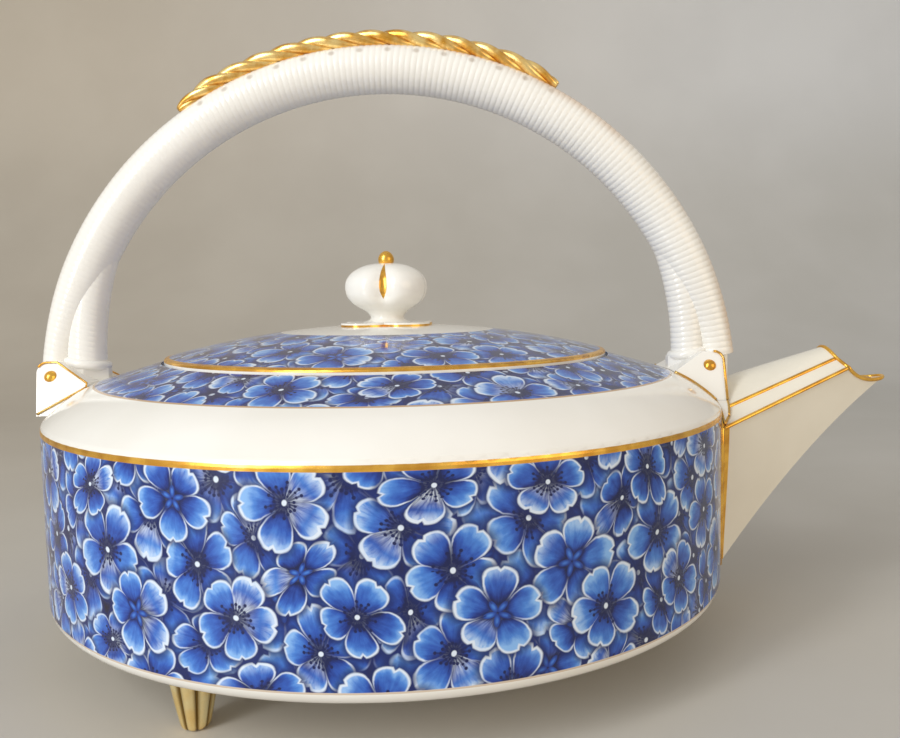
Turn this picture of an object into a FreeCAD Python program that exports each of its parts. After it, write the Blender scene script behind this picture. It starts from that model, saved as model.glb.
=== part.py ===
"""Porcelain teapot: a low drum on three feet, an angular spout, an overhead hoop handle and a domed lid.

X runs from the drum's axis towards the spout and Z is up. The origin is where the drum's axis meets the
surface that the teapot stands on. Sizes are millimetres and degrees.
"""

import FreeCAD
import Part
import math
import os
import Sketcher
from FreeCAD import Placement, Rotation, Vector

DRUM_SIZES = [
    ("drum_radius", 75.0, "outside of the upright wall"),
    ("stand_height", 12.0, "underside of the base above the standing surface"),
    ("wall_height", 38.0, "base underside to the ring at the top of the wall"),
    ("wall_thick", 3.2, "wall and floor of the drum"),
    ("base_round", 3.0, "rounding between wall and base"),
    ("floor_round", 6.0, "rounding inside, between wall and floor"),
    ("shoulder_corner", 2.0, "rounding where the wall turns into the shoulder"),
    ("shoulder_turn", 45.0, "turn of that rounding"),
    ("shoulder_inset", 10.5, "wall to the line at the inner edge of the shoulder"),
    ("shoulder_slope", 33.6, "chord of the bulging shoulder"),
    ("shoulder_thick", 3.8, "shoulder under its inner line"),
    ("crown_slope", 16.1, "cone from the shoulder to the lid"),
    ("ledge_depth", 1.3, "recess that takes the lid's edge"),
    ("ledge_width", 6.6, "seat under the lid's edge"),
    ("ledge_thick", 2.8, "wall under the seat"),
    ("hole_radius", 2.2, "strainer hole behind the spout"),
    ("hole_pitch", 7.6, "middle hole to the ring of holes"),
    ("hole_height", 20.0, "middle hole above the base underside"),
    ("hole_count", 6, "strainer holes in the ring"),
]

LID_SIZES = [
    ("lid_radius", 50.2, "lid edge"),
    ("lid_play", 0.6, "lid edge to the rim round it"),
    ("lid_edge", 2.4, "height of the lid's edge"),
    ("lid_round", 0.6, "rounding on the lid's edge"),
    ("lid_thick", 3.0, "wall of the dome"),
    ("dome_radius", 200.0, "radius of the shallow dome"),
    ("flange_play", 0.8, "locating flange to the mouth"),
    ("flange_depth", 6.0, "locating flange below the seat"),
    ("flange_thick", 3.0, "wall of the locating flange"),
    ("land_margin", 0.5, "flat land round the knob's plinth"),
    ("knob_turn", 43.0, "first lobe of the knob, turned from the spout"),
    ("plinth_lobe", 5.6, "radius of one lobe of the plinth"),
    ("plinth_spread", 6.5, "knob axis to a lobe of the plinth"),
    ("plinth_thick", 0.8, "plinth"),
    ("neck_radius", 3.75, "waist under the bud"),
    ("neck_flare", 1.1, "spread of the neck on the plinth"),
    ("neck_height", 3.2, "plinth to the waist"),
    ("bud_lobe", 5.6, "radius of one lobe of the bud"),
    ("bud_spread", 5.3, "knob axis to a lobe of the bud"),
    ("bud_low", 5.8, "bud below its widest level"),
    ("bud_high", 4.6, "bud above its widest level"),
    ("bud_cone", 2.6, "height of the tapered foot of a lobe"),
    ("bud_hip", 4.2, "lobe where its tapered foot ends"),
    ("bud_flat", 1.2, "flat at the top and bottom of a lobe"),
    ("bud_dip", 0.5, "finial's seat below the top of the lobes"),
    ("seat_radius", 2.6, "finial's seat"),
    ("finial_radius", 1.85, "finial at its widest"),
    ("finial_foot", 1.2, "finial on its seat"),
    ("finial_height", 3.3, "finial"),
    ("finial_waist", 1.3, "seat to the widest level of the finial"),
    ("finial_point", 0.4, "flat on the finial's point"),
]

HANDLE_SIZES = [
    ("hoop_offset", 1.4, "hoop centreline outside the drum wall"),
    ("hoop_lift", 0.85, "hoop centre above the top of the wall"),
    ("tube_radius", 5.4, "hoop section"),
    ("split_angle", 25.0, "level where the hoop parts into two strands"),
    ("fork_angle", 15.0, "middle of the parted length"),
    ("strand_radius", 4.1, "outer strand at its foot"),
    ("inner_strand_radius", 3.8, "inner strand at its foot"),
    ("strand_set", 4.3, "outer strand inside the hoop's outer edge at the foot"),
    ("strand_gap", 6.8, "outer strand to inner strand at the foot"),
    ("strand_overlap", 5.0, "inner strand's start above the parting"),
    ("strand_cover", 0.3, "inner strand's start under the tube's surface"),
    ("plait_start_angle", 63.8, "first twist, from the level of the hoop's centre on the spout's side"),
    ("plait_angle", 56.0, "length of the plait along the hoop"),
    ("plait_count", 15, "twists of the plait"),
    ("plait_radius", 2.0, "one twist at its thickest"),
    ("plait_tip", 0.8, "one twist at its ends"),
    ("plait_length", 8.2, "one twist"),
    ("plait_waist", 2.6, "length of the thick part of a twist"),
    ("plait_height", 1.6, "plait centreline above the hoop"),
    ("plait_slant", 16.0, "twist against the hoop's line"),
    ("lug_angle", 8.5, "lug's top, which points at the hoop's centre"),
    ("lug_back", 2.5, "lug's outer end inside the hoop's outer edge"),
    ("lug_reach", 9.6, "lug's inner end inside the wall"),
    ("lug_core", 4.7, "half width of the middle of the lug"),
    ("lug_taper", 4.4, "length over which each end of the middle narrows"),
    ("lug_nose", 1.2, "half width of the narrowed ends"),
    ("lug_half", 6.5, "half width of the flaps, produced to the lug's top"),
    ("lug_lean", 30.0, "lean of the lug's flaps"),
    ("flap_inset", 0.3, "flap's outer edge inside the lug's outer end"),
    ("flap_round", 2.0, "rounding of the flap's upper corner"),
    ("flap_fall", 0.75, "flap's top below the lug's top"),
    ("flap_crest", 4.4, "length of the flap's top"),
    ("flap_length", 11.9, "flap's outer edge to its inner tip"),
    ("flap_tip_fall", 4.6, "inner tip below the flap's top"),
    ("flap_foot_spout", 0.6, "flap by the spout: lower corner inside its outer edge"),
    ("flap_foot_rear", 1.9, "rear flap: lower corner inside its outer edge"),
    ("flap_drop_spout", -1.6, "flap by the spout, below the top of the wall"),
    ("flap_drop_rear", -0.6, "rear flap, below the top of the wall"),
    ("flap_shift_spout", 2.7, "flap by the spout, nearer the drum's axis"),
    ("flap_shift_rear", 0.0, "rear flap, nearer the drum's axis"),
    ("stud_radius", 1.4, "gilt stud on a flap"),
    ("stud_height", 0.8, "gilt stud"),
    ("stud_inset", 3.3, "stud inside the flap's outer edge"),
    ("stud_fall", 3.7, "stud below the lug's top"),
    ("luting_gap", 0.05, "slip joint between pieces that are stuck together"),
]

FOOT_SIZES = [
    ("foot_inset", 11.0, "drum wall to the middle of a foot"),
    ("foot_radius", 5.0, "foot at the base"),
    ("foot_flat", 1.8, "flat that the foot stands on"),
    ("foot_round", 1.1, "rounding of the foot's tip"),
]

SPOUT_QUANTITIES = [
    ("out", "crest outside the drum wall"),
    ("up", "crest above the top of the wall"),
    ("lean", "lean of the section towards the tip"),
    ("edge_half", "half width of the domed top"),
    ("edge_drop", "edge of the domed top below the crest"),
    ("side_half", "half width at the top of the flat sides"),
    ("side_drop", "top of the flat sides below the crest"),
    ("keel_half", "half width of the bowed keel"),
    ("keel_drop", "keel below the crest"),
    ("wall", "wall"),
]

SPOUT_STATIONS = {
    "root": (-3.0, 2.84, 0.0, 15.6, 3.79, 20.07, 6.89, 15.5, 43.5, 2.6),
    "middle": (13.0, 7.96, 28.0, 9.71, 3.26, 13.14, 5.9, 6.5, 21.7, 2.2),
    "mouth": (28.94, 13.05, 63.1, 3.66, 3.92, 5.94, 7.14, 2.1, 15.19, 1.4),
}

LIP_SIZES = [
    ("lip_ahead", 8.71, "centre of the hollow lip ahead of the mouth's crest"),
    ("lip_above", 2.75, "centre of the hollow lip above the mouth's crest"),
    ("lip_radius", 11.3, "hollow of the lip"),
]

# Shares of the spout's wall by which the corners of its hollow lie inside those of its outside.
EDGE_IN = "0.6"
EDGE_DOWN = "0.75"
SIDE_DOWN = "0.4"
KEEL_IN = "0.6"
# Bow of the spout's keel, as a share of its half width.
KEEL_BOW = "0.25"

# Levels and radii that several pieces share, as expressions on the sheet.
DRUM_R = "dims.drum_radius"
WALL_TOP = "(dims.stand_height + dims.wall_height)"
TURN_COS = "cos(dims.shoulder_turn * 1 deg)"
TURN_SIN = "sin(dims.shoulder_turn * 1 deg)"
CORNER_R = f"(dims.drum_radius - dims.shoulder_corner * (1 - {TURN_COS}))"
CORNER_Z = f"({WALL_TOP} + dims.shoulder_corner * {TURN_SIN})"
SHOULDER_R = "(dims.drum_radius - dims.shoulder_inset)"
SHOULDER_Z = f"({CORNER_Z} + ({CORNER_R} - {SHOULDER_R}) * tan(dims.shoulder_slope * 1 deg))"
SHOULDER_CHORD = f"(({CORNER_R} - {SHOULDER_R}) / cos(dims.shoulder_slope * 1 deg))"
SHOULDER_BEND = "((90 - dims.shoulder_turn - dims.shoulder_slope) * 1 deg)"
SHOULDER_BULGE = f"({SHOULDER_CHORD} / (2 * sin({SHOULDER_BEND})))"
RIM_R = "(dims.lid_radius + dims.lid_play)"
RIM_Z = f"({SHOULDER_Z} + ({SHOULDER_R} - {RIM_R}) * tan(dims.crown_slope * 1 deg))"
LEDGE_Z = f"({RIM_Z} - dims.ledge_depth)"
MOUTH_R = f"({RIM_R} - dims.ledge_width)"

LID_EDGE_Z = f"({LEDGE_Z} + dims.lid_edge)"
DOME_EDGE_R = "(dims.lid_radius - dims.lid_round)"
DOME_CENTRE_Z = f"({LID_EDGE_Z} - sqrt(dims.dome_radius ^ 2 - {DOME_EDGE_R} ^ 2))"
LAND_R = "(dims.plinth_spread + dims.plinth_lobe + dims.land_margin)"
LAND_Z = f"({DOME_CENTRE_Z} + sqrt(dims.dome_radius ^ 2 - {LAND_R} ^ 2))"
PLINTH_TOP = f"({LAND_Z} + dims.plinth_thick)"
NECK_Z = f"({PLINTH_TOP} + dims.neck_height)"
BUD_WIDE_Z = f"({NECK_Z} + dims.bud_low)"
BUD_SEAT_Z = f"({BUD_WIDE_Z} + dims.bud_high - dims.bud_dip)"

HOOP_R = "(dims.drum_radius + dims.hoop_offset)"
HOOP_Z = f"({WALL_TOP} + dims.hoop_lift)"
HOOP_OUTSIDE = f"({HOOP_R} + dims.tube_radius)"
STRAND_R = f"({HOOP_OUTSIDE} - dims.strand_set)"
INNER_STRAND_R = f"({STRAND_R} - dims.strand_gap)"

LUG_OUTSIDE = f"({HOOP_OUTSIDE} - dims.lug_back)"
LUG_TIP_R = "(dims.drum_radius - dims.lug_reach)"
LUG_SLOPE = "tan(dims.lug_angle * 1 deg)"
LUG_TOP = f"({HOOP_Z} + {LUG_OUTSIDE} * {LUG_SLOPE})"
FLAP_TOP = f"({LUG_TOP} - dims.flap_fall)"
FLAP_HALF = "(dims.lug_half + dims.wall_height * tan(dims.lug_lean * 1 deg))"



class Arc:
    """Edge of an outline that bends with a radius, counter-clockwise unless it is turned over."""

    def __init__(self, radius, turn=1):
        self.radius = radius
        self.turn = turn


def bulge(width, height):
    """Arc that is upright at its widest level, spread over a width and a height."""
    return Arc(f"((({width}) ^ 2 + ({height}) ^ 2) / (2 * ({width})))")


def spout_rows():
    rows = []
    for station, sizes in SPOUT_STATIONS.items():
        for (quantity, note), size in zip(SPOUT_QUANTITIES, sizes):
            rows.append((f"{station}_{quantity}", size, f"spout {station}: {note}"))
    return rows


def fill_sheet(doc):
    sheet = doc.addObject("Spreadsheet::Sheet", "dims")
    rows = DRUM_SIZES + LID_SIZES + HANDLE_SIZES + FOOT_SIZES + spout_rows() + LIP_SIZES
    for row, (alias, size, note) in enumerate(rows, start=1):
        sheet.set(f"A{row}", note)
        sheet.set(f"B{row}", str(size))
        sheet.setAlias(f"B{row}", alias)
    doc.recompute()


def new_body(doc, label):
    body = doc.addObject("PartDesign::Body", label)
    body.Label = label
    return body


def origin_feature(body, role):
    return next(feature for feature in body.Origin.OriginFeatures if feature.Role == role)


def new_sketch(body, role, shift=None, tilt_axis=None, tilt=None):
    """Sketch on one of the body's own planes, shifted and tilted within that plane's axes."""
    sketch = body.newObject("Sketcher::SketchObject", "sketch")
    sketch.AttachmentSupport = [(origin_feature(body, role), "")]
    sketch.MapMode = "FlatFace"
    if tilt:
        sketch.AttachmentOffset = Placement(Vector(), Rotation(Vector(*tilt_axis), 1))
        sketch.setExpression("AttachmentOffset.Rotation.Angle", f"{tilt} * 1 deg")
    for letter, place in zip("xyz", shift or ()):
        sketch.setExpression(f"AttachmentOffset.Base.{letter}", place)
    return sketch


def bind(sketch, constraint, expression):
    index = sketch.addConstraint(constraint)
    sketch.setExpression(f"Constraints[{index}]", expression)


def place(sketch, x, y):
    return Vector(float(sketch.evalExpression(x)), float(sketch.evalExpression(y)), 0)


def place_point(sketch, edge, end, x, y):
    point = place(sketch, x, y)
    bind(sketch, Sketcher.Constraint("DistanceX", -1, 1, edge, end, point.x), x)
    bind(sketch, Sketcher.Constraint("DistanceY", -1, 1, edge, end, point.y), y)


def draw_edge(sketch, start, end, arc):
    """Add a line or an arc; return it with the numbers of its start and its end."""
    if arc is None:
        return sketch.addGeometry(Part.LineSegment(start, end)), 1, 2
    radius = float(sketch.evalExpression(arc.radius))
    chord = end - start
    rise = math.sqrt(max(radius**2 - (chord.Length / 2) ** 2, 0))
    left = Vector(-chord.y, chord.x, 0).normalize()
    centre = (start + end) / 2 + left * rise * arc.turn
    tail, head = (start - centre, end - centre)[:: arc.turn]
    tail_angle = math.atan2(tail.y, tail.x)
    head_angle = math.atan2(head.y, head.x)
    if head_angle < tail_angle:
        head_angle += 2 * math.pi
    circle = Part.Circle(centre, Vector(0, 0, 1), radius)
    edge = sketch.addGeometry(Part.ArcOfCircle(circle, tail_angle, head_angle))
    bind(sketch, Sketcher.Constraint("Radius", edge, radius), arc.radius)
    return (edge, 1, 2) if arc.turn > 0 else (edge, 2, 1)


def outline(sketch, corners):
    """Closed outline through corners (x, y) or (x, y, arc that leaves the corner), all tied to the sheet."""
    corners = [corner if len(corner) == 3 else (*corner, None) for corner in corners]
    places = [place(sketch, x, y) for x, y, _ in corners]
    edges = []
    for index, (_, _, arc) in enumerate(corners):
        edges.append(draw_edge(sketch, places[index], places[(index + 1) % len(places)], arc))
    for index, (x, y, _) in enumerate(corners):
        edge, start, _ = edges[index]
        before, _, end = edges[index - 1]
        sketch.addConstraint(Sketcher.Constraint("Coincident", before, end, edge, start))
        place_point(sketch, edge, start, x, y)
    return sketch


def ring(sketch, x, y, radius):
    size = float(sketch.evalExpression(radius))
    centre = place(sketch, x, y)
    edge = sketch.addGeometry(Part.Circle(centre, Vector(0, 0, 1), size))
    bind(sketch, Sketcher.Constraint("Radius", edge, size), radius)
    place_point(sketch, edge, 3, x, y)
    return sketch


def feature(body, kind, sketch, **settings):
    made = body.newObject(f"PartDesign::{kind}", kind.lower())
    made.Profile = sketch
    for name, setting in settings.items():
        setattr(made, name, setting)
    return made


def revolve(body, sketch, axis="V_Axis", kind="Revolution", **settings):
    return feature(body, kind, sketch, ReferenceAxis=(sketch, [axis]), **settings)


def pad(body, sketch, length, **settings):
    made = feature(body, "Pad", sketch, **settings)
    made.setExpression("Length", length)
    return made


def cut_through(body, sketch, **settings):
    return feature(body, "Pocket", sketch, Type="ThroughAll", **settings)


def loft(body, sketches, kind="AdditiveLoft"):
    return feature(body, kind, sketches[0], Sections=sketches[1:])


def polar_copies(body, originals, role, count, angle="360"):
    pattern = body.newObject("PartDesign::PolarPattern", "pattern")
    pattern.Originals = originals
    pattern.Axis = (origin_feature(body, role), [""])
    pattern.setExpression("Occurrences", count)
    pattern.setExpression("Angle", f"{angle} * 1 deg")
    body.Tip = pattern
    return pattern


def outer_corners(gap):
    """Outside of the drum from the base to the rim, moved outwards by a gap."""
    corner_r = f"{CORNER_R} + {gap} * {TURN_COS}"
    corner_z = f"{CORNER_Z} + {gap} * {TURN_SIN}"
    return [
        (f"{DRUM_R} - dims.base_round", f"dims.stand_height - {gap}", Arc(f"dims.base_round + {gap}")),
        (f"{DRUM_R} + {gap}", "dims.stand_height + dims.base_round"),
        (f"{DRUM_R} + {gap}", WALL_TOP, Arc(f"dims.shoulder_corner + {gap}")),
        (corner_r, corner_z, Arc(f"{SHOULDER_BULGE} + {gap}")),
        (SHOULDER_R, f"{SHOULDER_Z} + {gap}"),
        (RIM_R, f"{RIM_Z} + {gap}"),
    ]


def make_body_shell(doc):
    """Hollow drum with its base, shoulder and lid seat, pierced behind the spout."""
    body = new_body(doc, "body_shell")
    inside = f"({DRUM_R} - dims.wall_thick)"
    floor = "(dims.stand_height + dims.wall_thick)"
    under_ledge = f"({LEDGE_Z} - dims.ledge_thick)"
    profile = [("0", "dims.stand_height")] + outer_corners("0")
    profile += [
        (RIM_R, LEDGE_Z),
        (MOUTH_R, LEDGE_Z),
        (MOUTH_R, under_ledge),
        (RIM_R, under_ledge),
        (SHOULDER_R, f"{SHOULDER_Z} - dims.shoulder_thick"),
        (inside, f"{WALL_TOP} - dims.shoulder_corner / 2"),
        (inside, f"{floor} + dims.floor_round", Arc("dims.floor_round", -1)),
        (f"{inside} - dims.floor_round", floor),
        ("0", floor),
    ]
    revolve(body, outline(new_sketch(body, "XZ_Plane"), profile))
    pierce_strainer(body)


def pierce_strainer(body):
    """Round holes through the wall where the spout joins it."""
    sketch = new_sketch(body, "YZ_Plane")
    middle = "dims.stand_height + dims.hole_height"
    ring(sketch, "0", middle, "dims.hole_radius")
    for index in range(int(sketch.evalExpression("dims.hole_count"))):
        turn = f"(({index} + 0.5) * 360 deg / dims.hole_count)"
        across = f"dims.hole_pitch * sin({turn})"
        height = f"{middle} + dims.hole_pitch * cos({turn})"
        ring(sketch, across, height, "dims.hole_radius")
    cut_through(body, sketch, Reversed=True)


def spout_sections(body, inset=None):
    """Shield-shaped sections from the wall to the mouth, each inset by its wall unless told otherwise."""
    sketches = []
    for station in SPOUT_STATIONS:
        sizes = {quantity: f"dims.{station}_{quantity}" for quantity, _ in SPOUT_QUANTITIES}
        shift = ("0", f"{WALL_TOP} + {sizes['up']}", f"{DRUM_R} + {sizes['out']}")
        sketch = new_sketch(body, "YZ_Plane", shift, (-1, 0, 0), sizes["lean"])
        sketches.append(outline(sketch, shield(sizes, inset or sizes["wall"])))
    return sketches


def shield(sizes, inset):
    """Domed top, a narrow sloping strip each side, flat sides and a bowed keel between them."""
    edge_half = f"({sizes['edge_half']} - {EDGE_IN} * {inset})"
    edge_drop = f"({sizes['edge_drop']} + {EDGE_DOWN} * {inset})"
    side_half = f"({sizes['side_half']} - {inset})"
    side_drop = f"({sizes['side_drop']} + {SIDE_DOWN} * {inset})"
    keel_half = f"({sizes['keel_half']} - {KEEL_IN} * {inset})"
    keel_drop = f"({sizes['keel_drop']} - {inset})"
    keel_rise = f"({KEEL_BOW} * {keel_half})"
    keel_radius = f"(({keel_half} ^ 2 + {keel_rise} ^ 2) / (2 * {keel_rise}))"
    dome = f"({edge_drop} - {inset})"
    dome_radius = f"(({edge_half} ^ 2 + {dome} ^ 2) / (2 * {dome}))"
    return [
        (edge_half, f"-{edge_drop}", Arc(dome_radius)),
        (f"-{edge_half}", f"-{edge_drop}"),
        (f"-{side_half}", f"-{side_drop}"),
        (f"-{keel_half}", f"{keel_rise} - {keel_drop}", Arc(keel_radius)),
        (keel_half, f"{keel_rise} - {keel_drop}"),
        (side_half, f"-{side_drop}"),
    ]


def make_spout(doc):
    """Hollow angular spout, fitted to the wall at its root and cut to a hollow lip at its mouth."""
    body = new_body(doc, "spout")
    loft(body, spout_sections(body, "0"))
    loft(body, spout_sections(body), "SubtractiveLoft")
    wall = ring(new_sketch(body, "XY_Plane"), "0", "0", f"{DRUM_R} + dims.luting_gap")
    cut_through(body, wall, SideType="Symmetric")
    lip_x = f"{DRUM_R} + dims.mouth_out + dims.lip_ahead"
    lip_z = f"{WALL_TOP} + dims.mouth_up + dims.lip_above"
    lip = ring(new_sketch(body, "XZ_Plane"), lip_x, lip_z, "dims.lip_radius")
    cut_through(body, lip, SideType="Symmetric")


def make_lug(doc, side, turn):
    """Saddle that the foot of the hoop stands on: a narrow middle and two leaning flaps."""
    body = new_body(doc, f"lug_{side}")
    seat = [(LUG_OUTSIDE, LUG_TOP), (LUG_TIP_R, f"{HOOP_Z} + {LUG_TIP_R} * {LUG_SLOPE}")]
    middle = seat + [(LUG_TIP_R, WALL_TOP), (LUG_OUTSIDE, WALL_TOP)]
    middle_sketch = outline(new_sketch(body, "XZ_Plane"), middle)
    pad(body, middle_sketch, "2 * dims.lug_core", SideType="Symmetric")
    for sign in ("-", ""):
        narrow_lug_end(body, LUG_TIP_R, "+", sign)
        narrow_lug_end(body, LUG_OUTSIDE, "-", sign)
    flap_sketch = outline(new_sketch(body, "XZ_Plane"), flap_corners(side))
    pad(body, flap_sketch, f"2 * {FLAP_HALF}", SideType="Symmetric")
    for sign in ("-", ""):
        lean_lug_flap(body, sign)
    above_seat = outline(new_sketch(body, "XZ_Plane"), seat + [(LUG_TIP_R, LUG_TOP)])
    recess = feature(body, "Pocket", above_seat, SideType="Symmetric")
    recess.setExpression("Length", "2 * dims.lug_core")
    drum = [("0", "0")] + outer_corners("dims.luting_gap") + [("0", RIM_Z)]
    revolve(body, outline(new_sketch(body, "XZ_Plane"), drum), kind="Groove")
    if side == "spout":
        loft(body, spout_sections(body, "(-dims.luting_gap)"), "SubtractiveLoft")
    body.Placement = Placement(Vector(), Rotation(Vector(0, 0, 1), turn))


def flap_corners(side):
    """Flap from the side: a flat top with a rounded outer corner, and a tip that points at the lid."""
    outside = flap_outside(side)
    foot = f"{WALL_TOP} - dims.flap_drop_{side}"
    tip = f"{outside} - dims.flap_length"
    return [
        (tip, f"{FLAP_TOP} - dims.flap_tip_fall"),
        (tip, foot),
        (f"{outside} - dims.flap_foot_{side}", foot),
        (outside, f"{FLAP_TOP} - dims.flap_round", Arc("dims.flap_round")),
        (f"{outside} - dims.flap_round", FLAP_TOP),
        (f"{outside} - dims.flap_crest", FLAP_TOP),
    ]


def flap_outside(side):
    return f"({LUG_OUTSIDE} - dims.flap_inset - dims.flap_shift_{side})"


def narrow_lug_end(body, end, inwards, sign):
    """Cut one corner off the middle of the lug, seen from above."""
    corners = [
        (f"{end} {inwards} dims.lug_taper", f"{sign}dims.lug_core"),
        (end, f"{sign}dims.lug_nose"),
        (end, f"{sign}dims.lug_core"),
    ]
    cut_through(body, outline(new_sketch(body, "XY_Plane"), corners), SideType="Symmetric")


def lean_lug_flap(body, sign):
    """Cut one side of the lug to the leaning plane of its flap."""
    foot = f"({LUG_TOP} - dims.wall_height)"
    corners = [
        (f"{sign}dims.lug_half", LUG_TOP),
        (f"{sign}2 * {FLAP_HALF}", LUG_TOP),
        (f"{sign}2 * {FLAP_HALF}", foot),
        (f"{sign}{FLAP_HALF}", foot),
    ]
    cut_through(body, outline(new_sketch(body, "YZ_Plane"), corners), SideType="Symmetric")


def make_stud(doc, side, turn, front):
    """Domed gilt stud on the flap of a lug."""
    body = new_body(doc, f"stud_{side}_{'front' if front else 'back'}")
    dome = "((dims.stud_radius ^ 2 + dims.stud_height ^ 2) / (2 * dims.stud_height))"
    profile = [
        ("0", "dims.luting_gap"),
        ("dims.stud_radius", "dims.luting_gap", Arc(dome)),
        ("0", "dims.luting_gap + dims.stud_height"),
    ]
    revolve(body, outline(new_sketch(body, "XZ_Plane"), profile))
    out = -1 if front else 1
    forward = 1 if turn == 0 else -1
    body.Placement = Placement(Vector(), Rotation(Vector(-out, 0, 0), 1))
    body.setExpression("Placement.Rotation.Angle", "(90 - dims.lug_lean) * 1 deg")
    half = "(dims.lug_half + dims.stud_fall * tan(dims.lug_lean * 1 deg))"
    body.setExpression("Placement.Base.x", f"{forward} * ({flap_outside(side)} - dims.stud_inset)")
    body.setExpression("Placement.Base.y", f"{out} * {half}")
    body.setExpression("Placement.Base.z", f"{LUG_TOP} - dims.stud_fall")


def make_handle_hoop(doc):
    """Round hoop over the lid, parted at each foot into two strands that stand on a lug."""
    body = new_body(doc, "handle_hoop")
    body.setExpression("Placement.Base.z", HOOP_Z)
    tube = ring(new_sketch(body, "YZ_Plane"), "0", HOOP_R, "dims.tube_radius")
    arch = revolve(body, tube, "H_Axis", Midplane=True)
    arch.setExpression("Angle", "(180 - 2 * dims.split_angle) * 1 deg")
    outer = strand(body, "dims.split_angle", HOOP_R, "dims.tube_radius", STRAND_R, "dims.strand_radius")
    inner_start = "(dims.split_angle + dims.strand_overlap)"
    inner_start_r = f"({HOOP_R} - dims.tube_radius + dims.strand_cover + dims.strand_radius)"
    inner_foot = "dims.inner_strand_radius"
    inner = strand(body, inner_start, inner_start_r, "dims.strand_radius", INNER_STRAND_R, inner_foot)
    mirror = body.newObject("PartDesign::Mirrored", "mirror")
    mirror.Originals = [outer, inner]
    mirror.MirrorPlane = (origin_feature(body, "YZ_Plane"), [""])
    body.Tip = mirror


def strand(body, start, start_place, start_radius, foot_place, foot_radius):
    """One strand from the round tube down to its seat on the top of the lug."""
    sketches = []
    stations = [
        (start, "0", None),
        ("dims.fork_angle", "0.5", None),
        ("dims.lug_angle", "1", ("0", "0", "dims.luting_gap")),
    ]
    for angle, share, shift in stations:
        sketch = new_sketch(body, "XY_Plane", shift, (0, -1, 0), angle)
        middle = f"{start_place} + {share} * ({foot_place} - {start_place})"
        radius = f"{start_radius} + {share} * ({foot_radius} - {start_radius})"
        sketches.append(ring(sketch, middle, "0", radius))
    return loft(body, sketches)


def make_handle_plait(doc):
    """Gilt plait along the top of the hoop: a row of slanting twists that run into each other."""
    body = new_body(doc, "handle_plait")
    body.setExpression("Placement.Base.z", HOOP_Z)
    start = "dims.plait_start_angle"
    centre = f"({HOOP_OUTSIDE} + dims.plait_height)"
    shift = (f"{centre} * cos({start} * 1 deg)", f"{centre} * sin({start} * 1 deg)", "0")
    tilt = f"({start} + 90 - dims.plait_slant)"
    sketch = new_sketch(body, "XZ_Plane", shift, (0, 0, 1), tilt)
    profile = [
        ("-dims.plait_length / 2", "0"),
        ("dims.plait_length / 2", "0"),
        ("dims.plait_length / 2", "dims.plait_tip"),
        ("dims.plait_waist / 2", "dims.plait_radius"),
        ("-dims.plait_waist / 2", "dims.plait_radius"),
        ("-dims.plait_length / 2", "dims.plait_tip"),
    ]
    twist = revolve(body, outline(sketch, profile), "H_Axis")
    polar_copies(body, [twist], "Y_Axis", "dims.plait_count", "(-dims.plait_angle)")
    tube = ring(new_sketch(body, "YZ_Plane"), "0", HOOP_R, "dims.tube_radius + dims.luting_gap")
    revolve(body, tube, "H_Axis", "Groove")


def make_foot(doc, label, angle):
    """Tapered gilt peg under the base."""
    body = new_body(doc, label)
    profile = [
        ("0", "0"),
        ("dims.foot_flat", "0", Arc("dims.foot_round")),
        ("dims.foot_flat + dims.foot_round", "dims.foot_round"),
        ("dims.foot_radius", "dims.stand_height"),
        ("0", "dims.stand_height"),
    ]
    revolve(body, outline(new_sketch(body, "XZ_Plane"), profile))
    body.setExpression("Placement.Base.x", f"({DRUM_R} - dims.foot_inset) * cos({angle} deg)")
    body.setExpression("Placement.Base.y", f"({DRUM_R} - dims.foot_inset) * sin({angle} deg)")


def make_lid(doc):
    """Shallow domed lid with a flat land for the knob and a locating flange underneath."""
    body = new_body(doc, "lid")
    flange = f"({MOUTH_R} - dims.flange_play)"
    flange_inside = f"({flange} - dims.flange_thick)"
    flange_end = f"({LEDGE_Z} - dims.flange_depth)"
    hollow_radius = "(dims.dome_radius - dims.lid_thick)"
    profile = [
        (flange_inside, flange_end),
        (flange, flange_end),
        (flange, LEDGE_Z),
        ("dims.lid_radius", LEDGE_Z),
        ("dims.lid_radius", f"{LID_EDGE_Z} - dims.lid_round", Arc("dims.lid_round")),
        (DOME_EDGE_R, LID_EDGE_Z, Arc("dims.dome_radius")),
        (LAND_R, LAND_Z),
        ("0", LAND_Z),
        ("0", f"{DOME_CENTRE_Z} + {hollow_radius}", Arc(hollow_radius, -1)),
        (flange_inside, f"{DOME_CENTRE_Z} + sqrt({hollow_radius} ^ 2 - {flange_inside} ^ 2)"),
    ]
    revolve(body, outline(new_sketch(body, "XZ_Plane"), profile))


def turn_knob(body):
    body.Placement = Placement(Vector(), Rotation(Vector(0, 0, 1), 1))
    body.setExpression("Placement.Rotation.Angle", "dims.knob_turn * 1 deg")


def make_knob_plinth(doc):
    """Four-lobed plate under the knob."""
    body = new_body(doc, "knob_plinth")
    turn_knob(body)
    level = ("0", "0", LAND_Z)
    middle = ring(new_sketch(body, "XY_Plane", level), "0", "0", "dims.plinth_spread")
    pad(body, middle, "dims.plinth_thick")
    lobe = ring(new_sketch(body, "XY_Plane", level), "dims.plinth_spread", "0", "dims.plinth_lobe")
    polar_copies(body, [pad(body, lobe, "dims.plinth_thick")], "Z_Axis", "4")


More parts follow.
